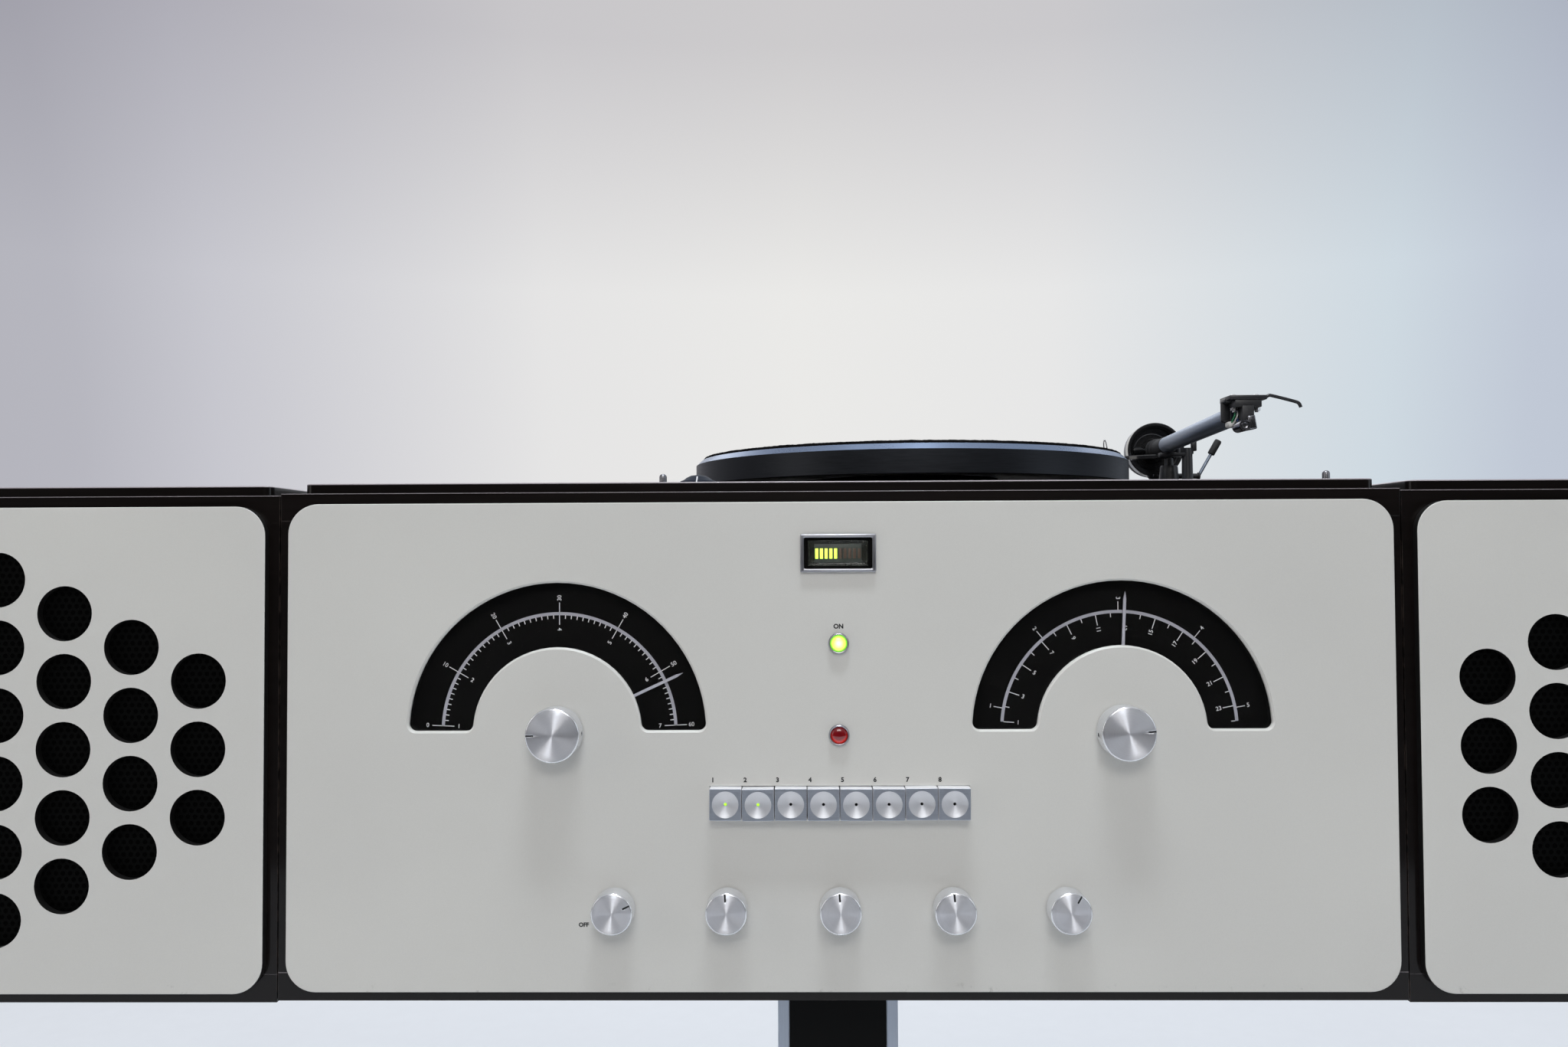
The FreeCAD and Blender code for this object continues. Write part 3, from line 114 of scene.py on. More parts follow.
def facing_viewer(at, spin=0.0):
    # Sets a flat print upright at a place in mm, turned clockwise by the spin.
    turn = Matrix.Rotation(math.radians(spin), 4, "Y") @ Matrix.Rotation(math.radians(90), 4, "X")
    return Matrix.Translation(Vector(at) * MM) @ turn


def soften(piece, degrees):
    pick(piece)
    bpy.ops.object.shade_smooth_by_angle(angle=math.radians(degrees))


def paint(piece, finish):
    piece.data.materials.clear()
    piece.data.materials.append(finishes[finish])


def paint_faces(piece, finish, chosen):
    piece.data.materials.append(finishes[finish])
    last = len(piece.data.materials) - 1
    for face in piece.data.polygons:
        if chosen(face):
            face.material_index = last


def turned(name, finish, at, direction, profile, steps=64, smooth=32):
    # Rings of (radius, height) in mm drawn out one after another along the direction.
    clear_bench()
    radius, height = profile[0]
    bpy.ops.mesh.primitive_circle_add(vertices=steps, radius=max(radius, LEAST_RADIUS) * MM)
    piece = bpy.context.object
    open_mesh()
    bpy.ops.transform.translate(value=(0, 0, height * MM))
    for next_radius, next_height in profile[1:]:
        rise = (next_height - height) * MM
        bpy.ops.mesh.extrude_region_move(TRANSFORM_OT_translate={"value": (0, 0, rise)})
        share = max(next_radius, LEAST_RADIUS) / max(radius, LEAST_RADIUS)
        bpy.ops.transform.resize(value=(share, share, 1), center_override=(0, 0, next_height * MM))
        radius, height = next_radius, next_height
    bpy.ops.mesh.select_all(action="SELECT")
    bpy.ops.mesh.remove_doubles(threshold=SAME_POINT)
    bpy.ops.mesh.select_all(action="DESELECT")
    bpy.ops.mesh.select_non_manifold()
    bpy.ops.mesh.fill_holes(sides=0)
    close_mesh()
    stand_along(piece, at, direction)
    settle(piece, name)
    soften(piece, smooth)
    paint(piece, finish)
    return piece


def block(name, finish, low, high, edge=0.0, rounds=2):
    # A block between two corners in mm, with its edges rounded over.
    clear_bench()
    middle = [(a + b) / 2 * MM for a, b in zip(low, high)]
    bpy.ops.mesh.primitive_cube_add(size=1, location=middle)
    piece = bpy.context.object
    piece.scale = [(b - a) * MM for a, b in zip(low, high)]
    settle(piece, name)
    if edge:
        open_mesh()
        bpy.ops.mesh.bevel(offset=edge * MM, segments=rounds, affect="EDGES")
        bpy.ops.object.mode_set(mode="OBJECT")
    soften(piece, BLOCK_SMOOTH)
    paint(piece, finish)
    return piece


def bent_wire(name, finish, points, radius, sides):
    # A round wire along points in mm.
    clear_bench()
    bpy.ops.curve.primitive_nurbs_path_add()
    piece = bpy.context.object
    line = piece.data.splines[0]
    line.points.add(len(points) - len(line.points))
    for spot, at in zip(line.points, points):
        spot.co = (at[0] * MM, at[1] * MM, at[2] * MM, 1)
    line.order_u = 3
    line.use_endpoint_u = True
    line.resolution_u = 6
    piece.data.bevel_depth = radius * MM
    piece.data.bevel_resolution = sides
    piece.data.use_fill_caps = True
    piece.location = (0, 0, 0)
    bpy.ops.object.convert(target="MESH")
    piece = bpy.context.object
    settle(piece, name)
    soften(piece, WIRE_SMOOTH)
    paint(piece, finish)
    return piece


def carve(piece, tool):
    # Cuts the tool's shape out of the piece.
    pick(piece)
    cut = piece.modifiers.new("carve", "BOOLEAN")
    cut.operation = "DIFFERENCE"
    cut.solver = "EXACT"
    cut.material_mode = "TRANSFER"
    cut.object = tool
    bpy.ops.object.modifier_apply(modifier="carve")
    bpy.data.objects.remove(tool)


def join(name, pieces):
    clear_bench()
    for piece in pieces:
        piece.select_set(True)
    bpy.context.view_layer.objects.active = pieces[0]
    bpy.ops.object.join()
    pieces[0].name = name
    pieces[0].data.name = name
    return pieces[0]


def copy_at(piece, name, shift):
    # Another of the same piece, with its own mesh, moved by the shift.
    pick(piece)
    bpy.ops.object.duplicate()
    other = bpy.context.object
    other.location = Vector(shift) * MM
    return settle(other, name)


def turn_about(piece, at, axis, degrees):
    at = Vector(at) * MM
    turn = Matrix.Rotation(math.radians(degrees), 4, axis)
    piece.matrix_world = Matrix.Translation(at) @ turn @ Matrix.Translation(-at) @ piece.matrix_world
    return settle(piece, piece.name)


def flat_mark(name, width, length, at, spin):
    # A printed dash that faces the viewer; width and length in mm.
    clear_bench()
    bpy.ops.mesh.primitive_plane_add(size=1)
    piece = bpy.context.object
    piece.matrix_world = facing_viewer(at, spin) @ Matrix.Diagonal((width * MM, length * MM, 1, 1))
    return settle(piece, name)


def lettering(name, text, height, at, spin=0.0, side="CENTER", weight_share=0.012):
    # Printed figures that face the viewer, made mesh before they are placed.
    clear_bench()
    bpy.ops.object.text_add()
    piece = bpy.context.object
    piece.data.body = text
    piece.data.size = height * MM
    piece.data.align_x = side
    piece.data.align_y = "CENTER"
    piece.data.offset = height * weight_share * MM
    piece.data.resolution_u = 3
    bpy.ops.object.convert(target="MESH")
    piece = bpy.context.object
    piece.matrix_world = facing_viewer(at, spin)
    return settle(piece, name)


def printed_arc(name, finish, centre, inner, outer, cut_z):
    # Upper part of a flat ring that faces the viewer; radii in mm.
    clear_bench()
    bpy.ops.mesh.primitive_circle_add(vertices=ARC_STEPS, radius=inner * MM)
    piece = bpy.context.object
    open_mesh()
    bpy.ops.mesh.extrude_region_move(TRANSFORM_OT_translate={"value": (0, 0, 0)})
    bpy.ops.transform.resize(value=(outer / inner, outer / inner, 1), center_override=(0, 0, 0))
    bpy.ops.mesh.select_all(action="SELECT")
    bpy.ops.mesh.bisect(plane_co=(0, cut_z * MM, 0), plane_no=(0, 1, 0), clear_inner=True)
    close_mesh()
    piece.matrix_world = facing_viewer(centre)
    settle(piece, name)
    if piece.data.polygons[0].normal.y > 0:
        open_mesh()
        bpy.ops.mesh.flip_normals()
        bpy.ops.object.mode_set(mode="OBJECT")
    paint(piece, finish)
    return piece


def note_reach(piece, middle):
    # Keeps each point's distance from the turning axis, for the lathe lines.
    found = piece.data.attributes.new("reach", "FLOAT", "POINT")
    for point in piece.data.vertices:
        away = Vector((point.co.x / MM - middle.x, point.co.z / MM - middle.z))
        found.data[point.index].value = away.length


def place(piece, body, slot, *replaced):
    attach(piece, body)
    if replaced:
        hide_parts(*replaced)
    return piece


# Shader parts that several finishes share

def feed(tree, node, inputs):
    # Joins a socket to an input, or sets the input to a plain value.
    for key, value in inputs.items():
        if isinstance(value, bpy.types.NodeSocket):
            tree.links.new(value, node.inputs[key])
        else:
            node.inputs[key].default_value = value


def add(tree, kind, inputs=None, **settings):
    made = tree.nodes.new("ShaderNode" + kind)
    for key, value in settings.items():
        setattr(made, key, value)
    feed(tree, made, inputs or {})
    return made


def ranged(tree, value, low=0.0, high=1.0, to_low=0.0, to_high=1.0):
    limits = {"Value": value, "From Min": low, "From Max": high, "To Min": to_low, "To Max": to_high}
    return add(tree, "MapRange", limits, clamp=True).outputs["Result"]


def math_of(tree, operation, *inputs):
    return add(tree, "Math", dict(enumerate(inputs)), operation=operation).outputs[0]


def vector_of(tree, operation, *inputs):
    made = add(tree, "VectorMath", dict(enumerate(inputs)), operation=operation)
    return made.outputs["Value" if operation in ("LENGTH", "DOT_PRODUCT") else "Vector"]


def mix_colours(tree, share, below, above, blend="MIX"):
    sockets = {0: share, 6: below, 7: above}
    return add(tree, "Mix", sockets, data_type="RGBA", blend_type=blend).outputs[2]


def cloud_of(tree, where, scale, detail, roughness):
    inputs = {"Vector": where, "Scale": scale, "Detail": detail, "Roughness": roughness}
    return add(tree, "TexNoise", inputs).outputs["Fac"]


def object_place(tree):
    return add(tree, "TexCoord").outputs["Object"]


def axes_of(tree, vector):
    return add(tree, "SeparateXYZ", {0: vector}).outputs


def fill_ramp(tree, share, stops):
    ramp = add(tree, "ValToRGB", {0: share})
    first, last = ramp.color_ramp.elements
    first.position, first.color = stops[0][0], (*stops[0][1], 1)
    last.position, last.color = stops[-1][0], (*stops[-1][1], 1)
    for spot, colour in stops[1:-1]:
        ramp.color_ramp.elements.new(spot).color = (*colour, 1)
    return ramp.outputs[0]


def new_group(name, inputs, outputs):
    group = bpy.data.node_groups.new(name, "ShaderNodeTree")
    for label, kind, value in inputs:
        socket = group.interface.new_socket(label, in_out="INPUT", socket_type="NodeSocket" + kind)
        socket.default_value = value
    for label, kind in outputs:
        group.interface.new_socket(label, in_out="OUTPUT", socket_type="NodeSocket" + kind)
    return group, group.nodes.new("NodeGroupInput").outputs, group.nodes.new("NodeGroupOutput")


def build_grit_group():
    # Fine speckle and broad cloudiness over the object.
    group, given, result = new_group(
        "grit", [("Fine Scale", "Float", 900.0), ("Broad Scale", "Float", 9.0),
                 ("Stretch", "Vector", (1.0, 1.0, 1.0))],
        [("Fine", "Float"), ("Broad", "Float")])
    drawn = vector_of(group, "MULTIPLY", object_place(group), given["Stretch"])
    for label, detail, roughness in (("Fine", 3.0, 0.6), ("Broad", 2.0, 0.5)):
        feed(group, result, {label: cloud_of(group, drawn, given[label + " Scale"], detail, roughness)})
    return group


def build_tone_group():
    # A colour that wanders between two tones by the fine and broad values.
    group, given, result = new_group(
        "two_tone", [("Light", "Color", (1, 1, 1, 1)), ("Dark", "Color", (0, 0, 0, 1)),
                     ("Fine", "Float", 0.5), ("Broad", "Float", 0.5), ("Fine Share", "Float", 0.5)],
        [("Color", "Color"), ("Value", "Float")])
    shares = {0: given["Fine Share"], 2: given["Broad"], 3: given["Fine"]}
    spread = ranged(group, add(group, "Mix", shares, data_type="FLOAT").outputs[0], 0.28, 0.72)
    colour = mix_colours(group, spread, given["Dark"], given["Light"])
    feed(group, result, {"Color": colour, "Value": spread})
    return group


def build_worn_and_sheen_edge_group():
    # One on edges, nought on open faces, broken up by noise.
    group, given, result = new_group(
        "worn_and_sheen_edge", [("Width", "Float", 0.0008), ("Break Scale", "Float", 160.0)], [("Mask", "Float")])
    rounded = add(group, "Bevel", {"Radius": given["Width"]}, samples=4).outputs["Normal"]
    flat = add(group, "NewGeometry").outputs["Normal"]
    edge = ranged(group, vector_of(group, "DOT_PRODUCT", rounded, flat), 0.99, 0.86)
    cloud = cloud_of(group, object_place(group), given["Break Scale"], 4.0, 0.65)
    breaks = ranged(group, cloud, 0.45, 0.62)
    feed(group, result, {"Mask": math_of(group, "MULTIPLY", edge, breaks)})
    return group


def build_top_highlight_edge_group():
    # One along edges that are turned upwards, nought on upright and level faces.
    group, given, result = new_group("top_highlight_edge", [("Width", "Float", 0.0008)], [("Mask", "Float")])
    rounded = add(group, "Bevel", {"Radius": given["Width"]}, samples=8).outputs["Normal"]
    height = axes_of(group, rounded)["Z"]
    rise = ranged(group, height, 0.10, 0.45)
    level = ranged(group, height, 0.99, 0.90)
    feed(group, result, {"Mask": math_of(group, "MULTIPLY", rise, level)})
    return group


GRIT = build_grit_group()
TOP_HIGHLIGHT_EDGE = build_top_highlight_edge_group()
TWO_TONE = build_tone_group()
WORN_AND_SHEEN_EDGE = build_worn_and_sheen_edge_group()


def use_group(tree, group, inputs):
    made = tree.nodes.new("ShaderNodeGroup")
    made.node_tree = group
    feed(tree, made, inputs)
    return made.outputs


def new_finish(name):
    material = bpy.data.materials.new(name)
    material.use_nodes = True
    return material, material.node_tree, material.node_tree.nodes["Principled BSDF"]


def wander(tree, shader, tones, fine, broad, fine_share, smoothest, roughest):
    # Colour and roughness that wander together between two tones.
    light, dark = tones
    tone = use_group(tree, TWO_TONE, {"Light": (*light, 1), "Dark": (*dark, 1), "Fine": fine,
                                      "Broad": broad, "Fine Share": fine_share})
    rough = ranged(tree, tone["Value"], to_low=smoothest, to_high=roughest)
    feed(tree, shader, {"Base Color": tone["Color"], "Roughness": rough})


def raise_relief(tree, shader, height, strength, depth):
    relief = add(tree, "Bump", {"Strength": strength, "Distance": depth, "Height": height})
    feed(tree, shader, {"Normal": relief.outputs["Normal"]})


def lay_over(tree, shader, mask, colour):
    # Lays a colour over the finish where the mask is one.
    before = shader.inputs["Base Color"].links[0].from_socket
    feed(tree, shader, {"Base Color": mix_colours(tree, mask, before, (*colour, 1))})


def broken_finish(name, light, dark, roughness, fine, broad, stretch=(1, 1, 1), fine_share=0.5, bump=0.0,
                  depth=0.0002, spread=0.06, **sockets):
    # A finish whose colour, roughness and relief all wander a little.
    material, tree, shader = new_finish(name)
    grit = use_group(tree, GRIT, {"Fine Scale": fine, "Broad Scale": broad, "Stretch": stretch})
    wander(tree, shader, (light, dark), grit["Fine"], grit["Broad"], fine_share,
           max(roughness - spread, 0.02), min(roughness + spread, 1.0))
    if bump:
        raise_relief(tree, shader, grit["Fine"], bump, depth)
    feed(tree, shader, {key.replace("_", " "): value for key, value in sockets.items()})
    return material


# Finishes

EDGE_WIDTH = 0.0007
EDGE_ROUND = 0.0008
GRIME_TOP = 0.352
GRIME_FULL = 0.345
MESH_PITCH = 0.0039
ROW_SHARE = 0.866


def make_lacquer(name):
    # Near-black brown lacquer whose edges are a little rounded and catch the light; its upturned edges carry
    # a painted highlight, and its lighter broken edges are partly wear and partly a painted highlight.
    material = broken_finish(name, (0.0050, 0.0030, 0.0025), (0.0026, 0.0016, 0.0013), 0.40, 60.0, 14.0,
                             stretch=(0.35, 6.0, 6.0), fine_share=0.6, Coat_Weight=0.35, Coat_Roughness=0.07,
                             Specular_IOR_Level=0.12)
    tree = material.node_tree
    shader = tree.nodes["Principled BSDF"]
    rounded = add(tree, "Bevel", {"Radius": EDGE_ROUND}, samples=4).outputs[0]
    feed(tree, shader, {"Normal": rounded, "Coat Normal": rounded})
    # Lighter brown on edges broken up by noise: partly worn lacquer, partly a painted highlight.
    worn_and_sheen = use_group(tree, WORN_AND_SHEEN_EDGE, {"Width": EDGE_WIDTH, "Break Scale": 90.0})["Mask"]
    lay_over(tree, shader, math_of(tree, "MULTIPLY", worn_and_sheen, 0.55), (0.16, 0.12, 0.10))
    # Painted highlight: a pale grey-violet laid along the edges turned upwards, where the light from above
    # would catch them.
    lit = use_group(tree, TOP_HIGHLIGHT_EDGE, {"Width": EDGE_WIDTH})["Mask"]
    lay_over(tree, shader, lit, (0.42, 0.38, 0.40))
    return material


def make_white_front(name, speaker):
    # Warm off-white laminate; a loudspeaker's panel is black on its edges and inside its holes.
    material = broken_finish(name, (0.665, 0.655, 0.615), (0.610, 0.600, 0.568), 0.46, 1500.0, 7.0,
                             fine_share=0.45, bump=0.05, spread=0.05)
    tree = material.node_tree
    shader = tree.nodes["Principled BSDF"]
    # Handling grime that gathers in patches along the lower edge.
    where = object_place(tree)
    low = ranged(tree, axes_of(tree, where)["Z"], GRIME_TOP, GRIME_FULL)
    patch = ranged(tree, cloud_of(tree, where, 130.0, 4.0, 0.7), 0.62, 0.85)
    lay_over(tree, shader, math_of(tree, "MULTIPLY", low, patch), (0.10, 0.085, 0.075))
    if speaker:
        facing = add(tree, "NewGeometry").outputs["True Normal"]
        forward = math_of(tree, "ABSOLUTE", axes_of(tree, facing)["Y"])
        lay_over(tree, shader, math_of(tree, "LESS_THAN", forward, 0.5), (0.005, 0.0045, 0.004))
    return material


def make_clear_glass(name):
    # Clear sheet with faint smudges, which lets light through to the dials.
    material, tree, shader = new_finish(name)
    smudge = use_group(tree, GRIT, {"Fine Scale": 260.0, "Broad Scale": 22.0})["Broad"]
    rough = ranged(tree, smudge, 0.35, 0.75, 0.0, 0.02)
    feed(tree, shader, {"Base Color": (0.96, 0.97, 0.97, 1), "Transmission Weight": 1.0, "IOR": 1.30,
                        "Specular IOR Level": 0.06, "Roughness": rough})
    shadow = add(tree, "LightPath").outputs["Is Shadow Ray"]
    clear = add(tree, "BsdfTransparent").outputs[0]
    both = add(tree, "MixShader", {0: shadow, 1: shader.outputs[0], 2: clear}).outputs[0]
    feed(tree, tree.nodes["Material Output"], {"Surface": both})
    return material


def make_spun(name, light, dark, roughness, anisotropy, ring_scale):
    # Metal faced on a lathe: fine rings round the Y axis of the piece.
    material, tree, shader = new_finish(name)
    around = add(tree, "Tangent", direction_type="RADIAL", axis="Y").outputs[0]
    feed(tree, shader, {"Metallic": 0.82, "Anisotropic": anisotropy, "Anisotropic Rotation": 0.25,
                        "Tangent": around})
    ring = add(tree, "Attribute", attribute_name="reach").outputs["Fac"]
    lines = {"W": ring, "Scale": ring_scale, "Detail": 3.0}
    rings = add(tree, "TexNoise", lines, noise_dimensions="1D").outputs["Fac"]
    broad = use_group(tree, GRIT, {"Fine Scale": 900.0, "Broad Scale": 60.0})["Broad"]
    wander(tree, shader, (light, dark), rings, broad, 0.6, roughness - 0.05, roughness + 0.05)
    return material


def make_glow(name, centre_z, radius, inner, outer, edge, strength):
    # A lens coloured from its middle out to its rim, which glows with the strength given: the green lens is
    # lit from behind, while on the unlit red lens the glow and the bright lower rim are a painted highlight.
    material, tree, shader = new_finish(name)
    spot = vector_of(tree, "ADD", object_place(tree), (0, 0, -centre_z * MM))
    away = vector_of(tree, "LENGTH", vector_of(tree, "MULTIPLY", spot, (1, 0, 1)))
    share = ranged(tree, away, 0.0, radius * MM)
    colour = fill_ramp(tree, share, [(0.0, inner), (0.62, outer), (1.0, edge)])
    feed(tree, shader, {"Base Color": colour, "Emission Color": colour, "Emission Strength": strength,
                        "Roughness": 0.12, "Coat Weight": 1.0, "Coat Roughness": 0.03})
    return material


def make_mesh_black(name):
    # Black sheet with close round holes in a staggered grid.
    material, tree, shader = new_finish(name)
    where = object_place(tree)
    half = (MESH_PITCH / 2, 0, MESH_PITCH * ROW_SHARE)
    cell = (MESH_PITCH, 1, MESH_PITCH * ROW_SHARE * 2)
    rows = []
    for shift in ((0, 0, 0), half):
        spot = where
        for operation, amount in (("ADD", shift), ("MODULO", cell), ("ADD", cell), ("MODULO", cell),
                                  ("SUBTRACT", half), ("MULTIPLY", (1, 0, 1))):
            spot = vector_of(tree, operation, spot, amount)
        rows.append(vector_of(tree, "LENGTH", spot))
    web = ranged(tree, math_of(tree, "MINIMUM", *rows), MESH_PITCH * 0.30, MESH_PITCH * 0.34)
    colour = mix_colours(tree, web, (0.0004, 0.0004, 0.0004, 1), (0.0018, 0.0019, 0.0018, 1))
    feed(tree, shader, {"Base Color": colour, "Roughness": ranged(tree, web, to_low=0.95, to_high=0.62),
                        "Specular IOR Level": 0.05})
    raise_relief(tree, shader, web, 0.8, 0.0004)
    return material


# Each row: light tone, dark tone, roughness, fine scale, broad scale and what else the finish has
BROKEN_FINISHES = {
    # Key sides: whiter and less metallic than the key aluminium so that the light from above makes them
    # bright, a painted sheen.
    "key_edge": ((0.90, 0.90, 0.92), (0.84, 0.84, 0.86), 0.36, 900.0, 60.0, {"Metallic": 0.35}),
    "key_glow": ((0.45, 0.95, 0.05), (0.30, 0.80, 0.03), 0.3, 1500.0, 200.0,
                 {"Emission_Color": (0.35, 1.0, 0.02, 1), "Emission_Strength": 1.4}),
    "bar_lit": ((0.62, 0.95, 0.05), (0.50, 0.85, 0.03), 0.4, 900.0, 90.0,
                {"Emission_Color": (0.72, 1.0, 0.12, 1), "Emission_Strength": 1.5}),
    "bar_dull": ((0.115, 0.070, 0.045), (0.085, 0.052, 0.035), 0.5, 900.0, 90.0, {}),
    "meter_window": ((0.065, 0.075, 0.065), (0.045, 0.055, 0.045), 0.35, 700.0, 60.0, {}),
    "smoked_rim": ((0.022, 0.024, 0.018), (0.012, 0.013, 0.010), 0.25, 700.0, 60.0, {}),
    "weight_grey": ((0.62, 0.62, 0.64), (0.54, 0.54, 0.56), 0.42, 900.0, 30.0, {"Metallic": 0.6}),
    "lead_green": ((0.03, 0.24, 0.10), (0.02, 0.17, 0.07), 0.5, 900.0, 90.0, {}),
    "lead_blue": ((0.04, 0.12, 0.42), (0.03, 0.09, 0.32), 0.5, 900.0, 90.0, {}),
    "lead_white": ((0.72, 0.71, 0.68), (0.62, 0.61, 0.58), 0.5, 900.0, 90.0, {}),
    "lead_red": ((0.45, 0.04, 0.04), (0.34, 0.03, 0.03), 0.5, 900.0, 90.0, {}),
    "key_satin": ((0.46, 0.49, 0.55), (0.38, 0.41, 0.47), 0.40, 900.0, 60.0,
                  {"stretch": (0.12, 1.0, 6.0), "fine_share": 0.75, "bump": 0.05, "Metallic": 1.0}),
    "column_satin": ((0.42, 0.46, 0.53), (0.34, 0.38, 0.45), 0.42, 700.0, 20.0,
                     {"stretch": (5.0, 5.0, 0.08), "fine_share": 0.7, "bump": 0.06, "Metallic": 1.0}),
    "dark_chrome": ((0.30, 0.30, 0.32), (0.20, 0.20, 0.22), 0.22, 900.0, 60.0, {"Metallic": 1.0}),
    "light_alloy": ((0.74, 0.75, 0.78), (0.60, 0.61, 0.64), 0.32, 1200.0, 40.0, {"Metallic": 1.0}),
    "chrome_rim": ((0.43, 0.43, 0.46), (0.36, 0.36, 0.39), 0.32, 700.0, 60.0,
                   {"spread": 0.04, "Metallic": 1.0}),
    "pin_steel": ((0.32, 0.32, 0.34), (0.22, 0.22, 0.24), 0.34, 900.0, 40.0, {"Metallic": 1.0}),
    "bare_steel": ((0.66, 0.66, 0.67), (0.50, 0.50, 0.51), 0.28, 900.0, 40.0, {"Metallic": 1.0}),
    "turned_brass": ((0.80, 0.58, 0.26), (0.62, 0.42, 0.17), 0.30, 900.0, 50.0, {"Metallic": 1.0}),
    "dial_black": ((0.0036, 0.0033, 0.0031), (0.0022, 0.0021, 0.0020), 0.50, 700.0, 20.0,
                   {"Specular_IOR_Level": 0.05}),
    "back_board": ((0.030, 0.028, 0.026), (0.018, 0.017, 0.016), 0.72, 700.0, 30.0,
                   {"stretch": (0.2, 1.0, 1.0), "bump": 0.2}),
    "pointer_paint": ((0.50, 0.49, 0.55), (0.42, 0.41, 0.47), 0.45, 1500.0, 90.0, {}),
    "scale_print": ((0.44, 0.43, 0.48), (0.37, 0.36, 0.41), 0.6, 1800.0, 90.0, {}),
    "figure_print": ((0.80, 0.79, 0.80), (0.70, 0.69, 0.70), 0.6, 1800.0, 90.0, {}),
    "ink_black": ((0.016, 0.016, 0.017), (0.009, 0.009, 0.010), 0.55, 1800.0, 90.0, {}),
    "moulded_black": ((0.020, 0.020, 0.022), (0.011, 0.011, 0.012), 0.46, 1400.0, 45.0, {"bump": 0.10}),
    "knob_slate": ((0.022, 0.028, 0.042), (0.014, 0.018, 0.028), 0.60, 1400.0, 45.0,
                   {"Specular_IOR_Level": 0.10}),
    "gloss_black": ((0.012, 0.012, 0.013), (0.006, 0.006, 0.007), 0.20, 1200.0, 45.0, {"Coat_Weight": 0.6}),
    "arm_satin": ((0.32, 0.365, 0.44), (0.24, 0.275, 0.335), 0.45, 1300.0, 30.0,
                  {"stretch": (6.0, 0.15, 6.0), "fine_share": 0.6, "bump": 0.04, "Metallic": 0.85}),
    "arm_black": ((0.022, 0.023, 0.026), (0.013, 0.013, 0.015), 0.38, 1300.0, 45.0, {"bump": 0.06}),
    "rubber_black": ((0.020, 0.020, 0.021), (0.012, 0.012, 0.013), 0.70, 1500.0, 50.0, {"bump": 0.25}),
    "platter_slate": ((0.030, 0.033, 0.040), (0.017, 0.019, 0.023), 0.42, 1400.0, 18.0,
                      {"stretch": (0.06, 0.06, 1.0), "fine_share": 0.55, "bump": 0.12, "depth": 0.0001,
                       "Metallic": 0.75}),
    "platter_edge": ((0.20, 0.26, 0.38), (0.15, 0.195, 0.285), 0.30, 1500.0, 30.0, {"Metallic": 0.5}),
    "mat_felt": ((0.014, 0.014, 0.015), (0.005, 0.005, 0.006), 0.95, 2600.0, 55.0,
                 {"fine_share": 0.7, "bump": 0.9, "spread": 0.04, "Specular_IOR_Level": 0.06}),
    "column_black": ((0.0040, 0.0042, 0.0042), (0.0026, 0.0028, 0.0028), 0.40, 900.0, 14.0,
                     {"bump": 0.04, "Specular_IOR_Level": 0.08}),
    "base_black": ((0.020, 0.020, 0.021), (0.012, 0.012, 0.013), 0.52, 1600.0, 20.0, {"bump": 0.35}),
    "circuit_green": ((0.045, 0.150, 0.075), (0.025, 0.095, 0.045), 0.45, 300.0, 60.0, {}),
    "floor_paper": ((0.86, 0.88, 0.905), (0.83, 0.85, 0.875), 0.7, 40.0, 2.0, {}),
}
# Each row: light tone, dark tone, roughness, anisotropy and scale of the rings
SPUN_FINISHES = {
    "spun_face": ((0.86, 0.86, 0.88), (0.70, 0.70, 0.74), 0.50, 1.0, 5.0),
    "turned_side": ((0.84, 0.85, 0.87), (0.74, 0.75, 0.78), 0.22, 0.55, 4.0),
    "key_dish": ((0.80, 0.80, 0.82), (0.68, 0.69, 0.72), 0.50, 0.60, 5.0),
}
# Each row: height of the middle, radius, colours from the middle to the rim and strength
GLOWS = {
    "green_glow": (LAMP_ZS[0], 4.45, (1.0, 1.0, 0.55), (0.78, 1.0, 0.10), (0.10, 0.55, 0.03), 1.6),
    # The red lamp is unlit: its middle sits 1.3 mm high so that the lower rim is brightest, a painted
    # highlight, and its glow is painted too.
    "red_lens_painted_highlight": (LAMP_ZS[1] + 1.3, 5.6, (0.10, 0.002, 0.004), (0.13, 0.003, 0.005),
                 (0.62, 0.020, 0.012), 0.50),
}

finishes = {
    "dark_lacquer": make_lacquer("dark_lacquer"),
    "white_front": make_white_front("white_front", False),
    "white_baffle": make_white_front("white_baffle", True),
    "clear_glass": make_clear_glass("clear_glass"),
    "mesh_black": make_mesh_black("mesh_black"),
}
for name, row in BROKEN_FINISHES.items():
    finishes[name] = broken_finish(name, *row[:5], **row[5])
for name, row in SPUN_FINISHES.items():
    finishes[name] = make_spun(name, *row)
for name, row in GLOWS.items():
    finishes[name] = make_glow(name, *row)

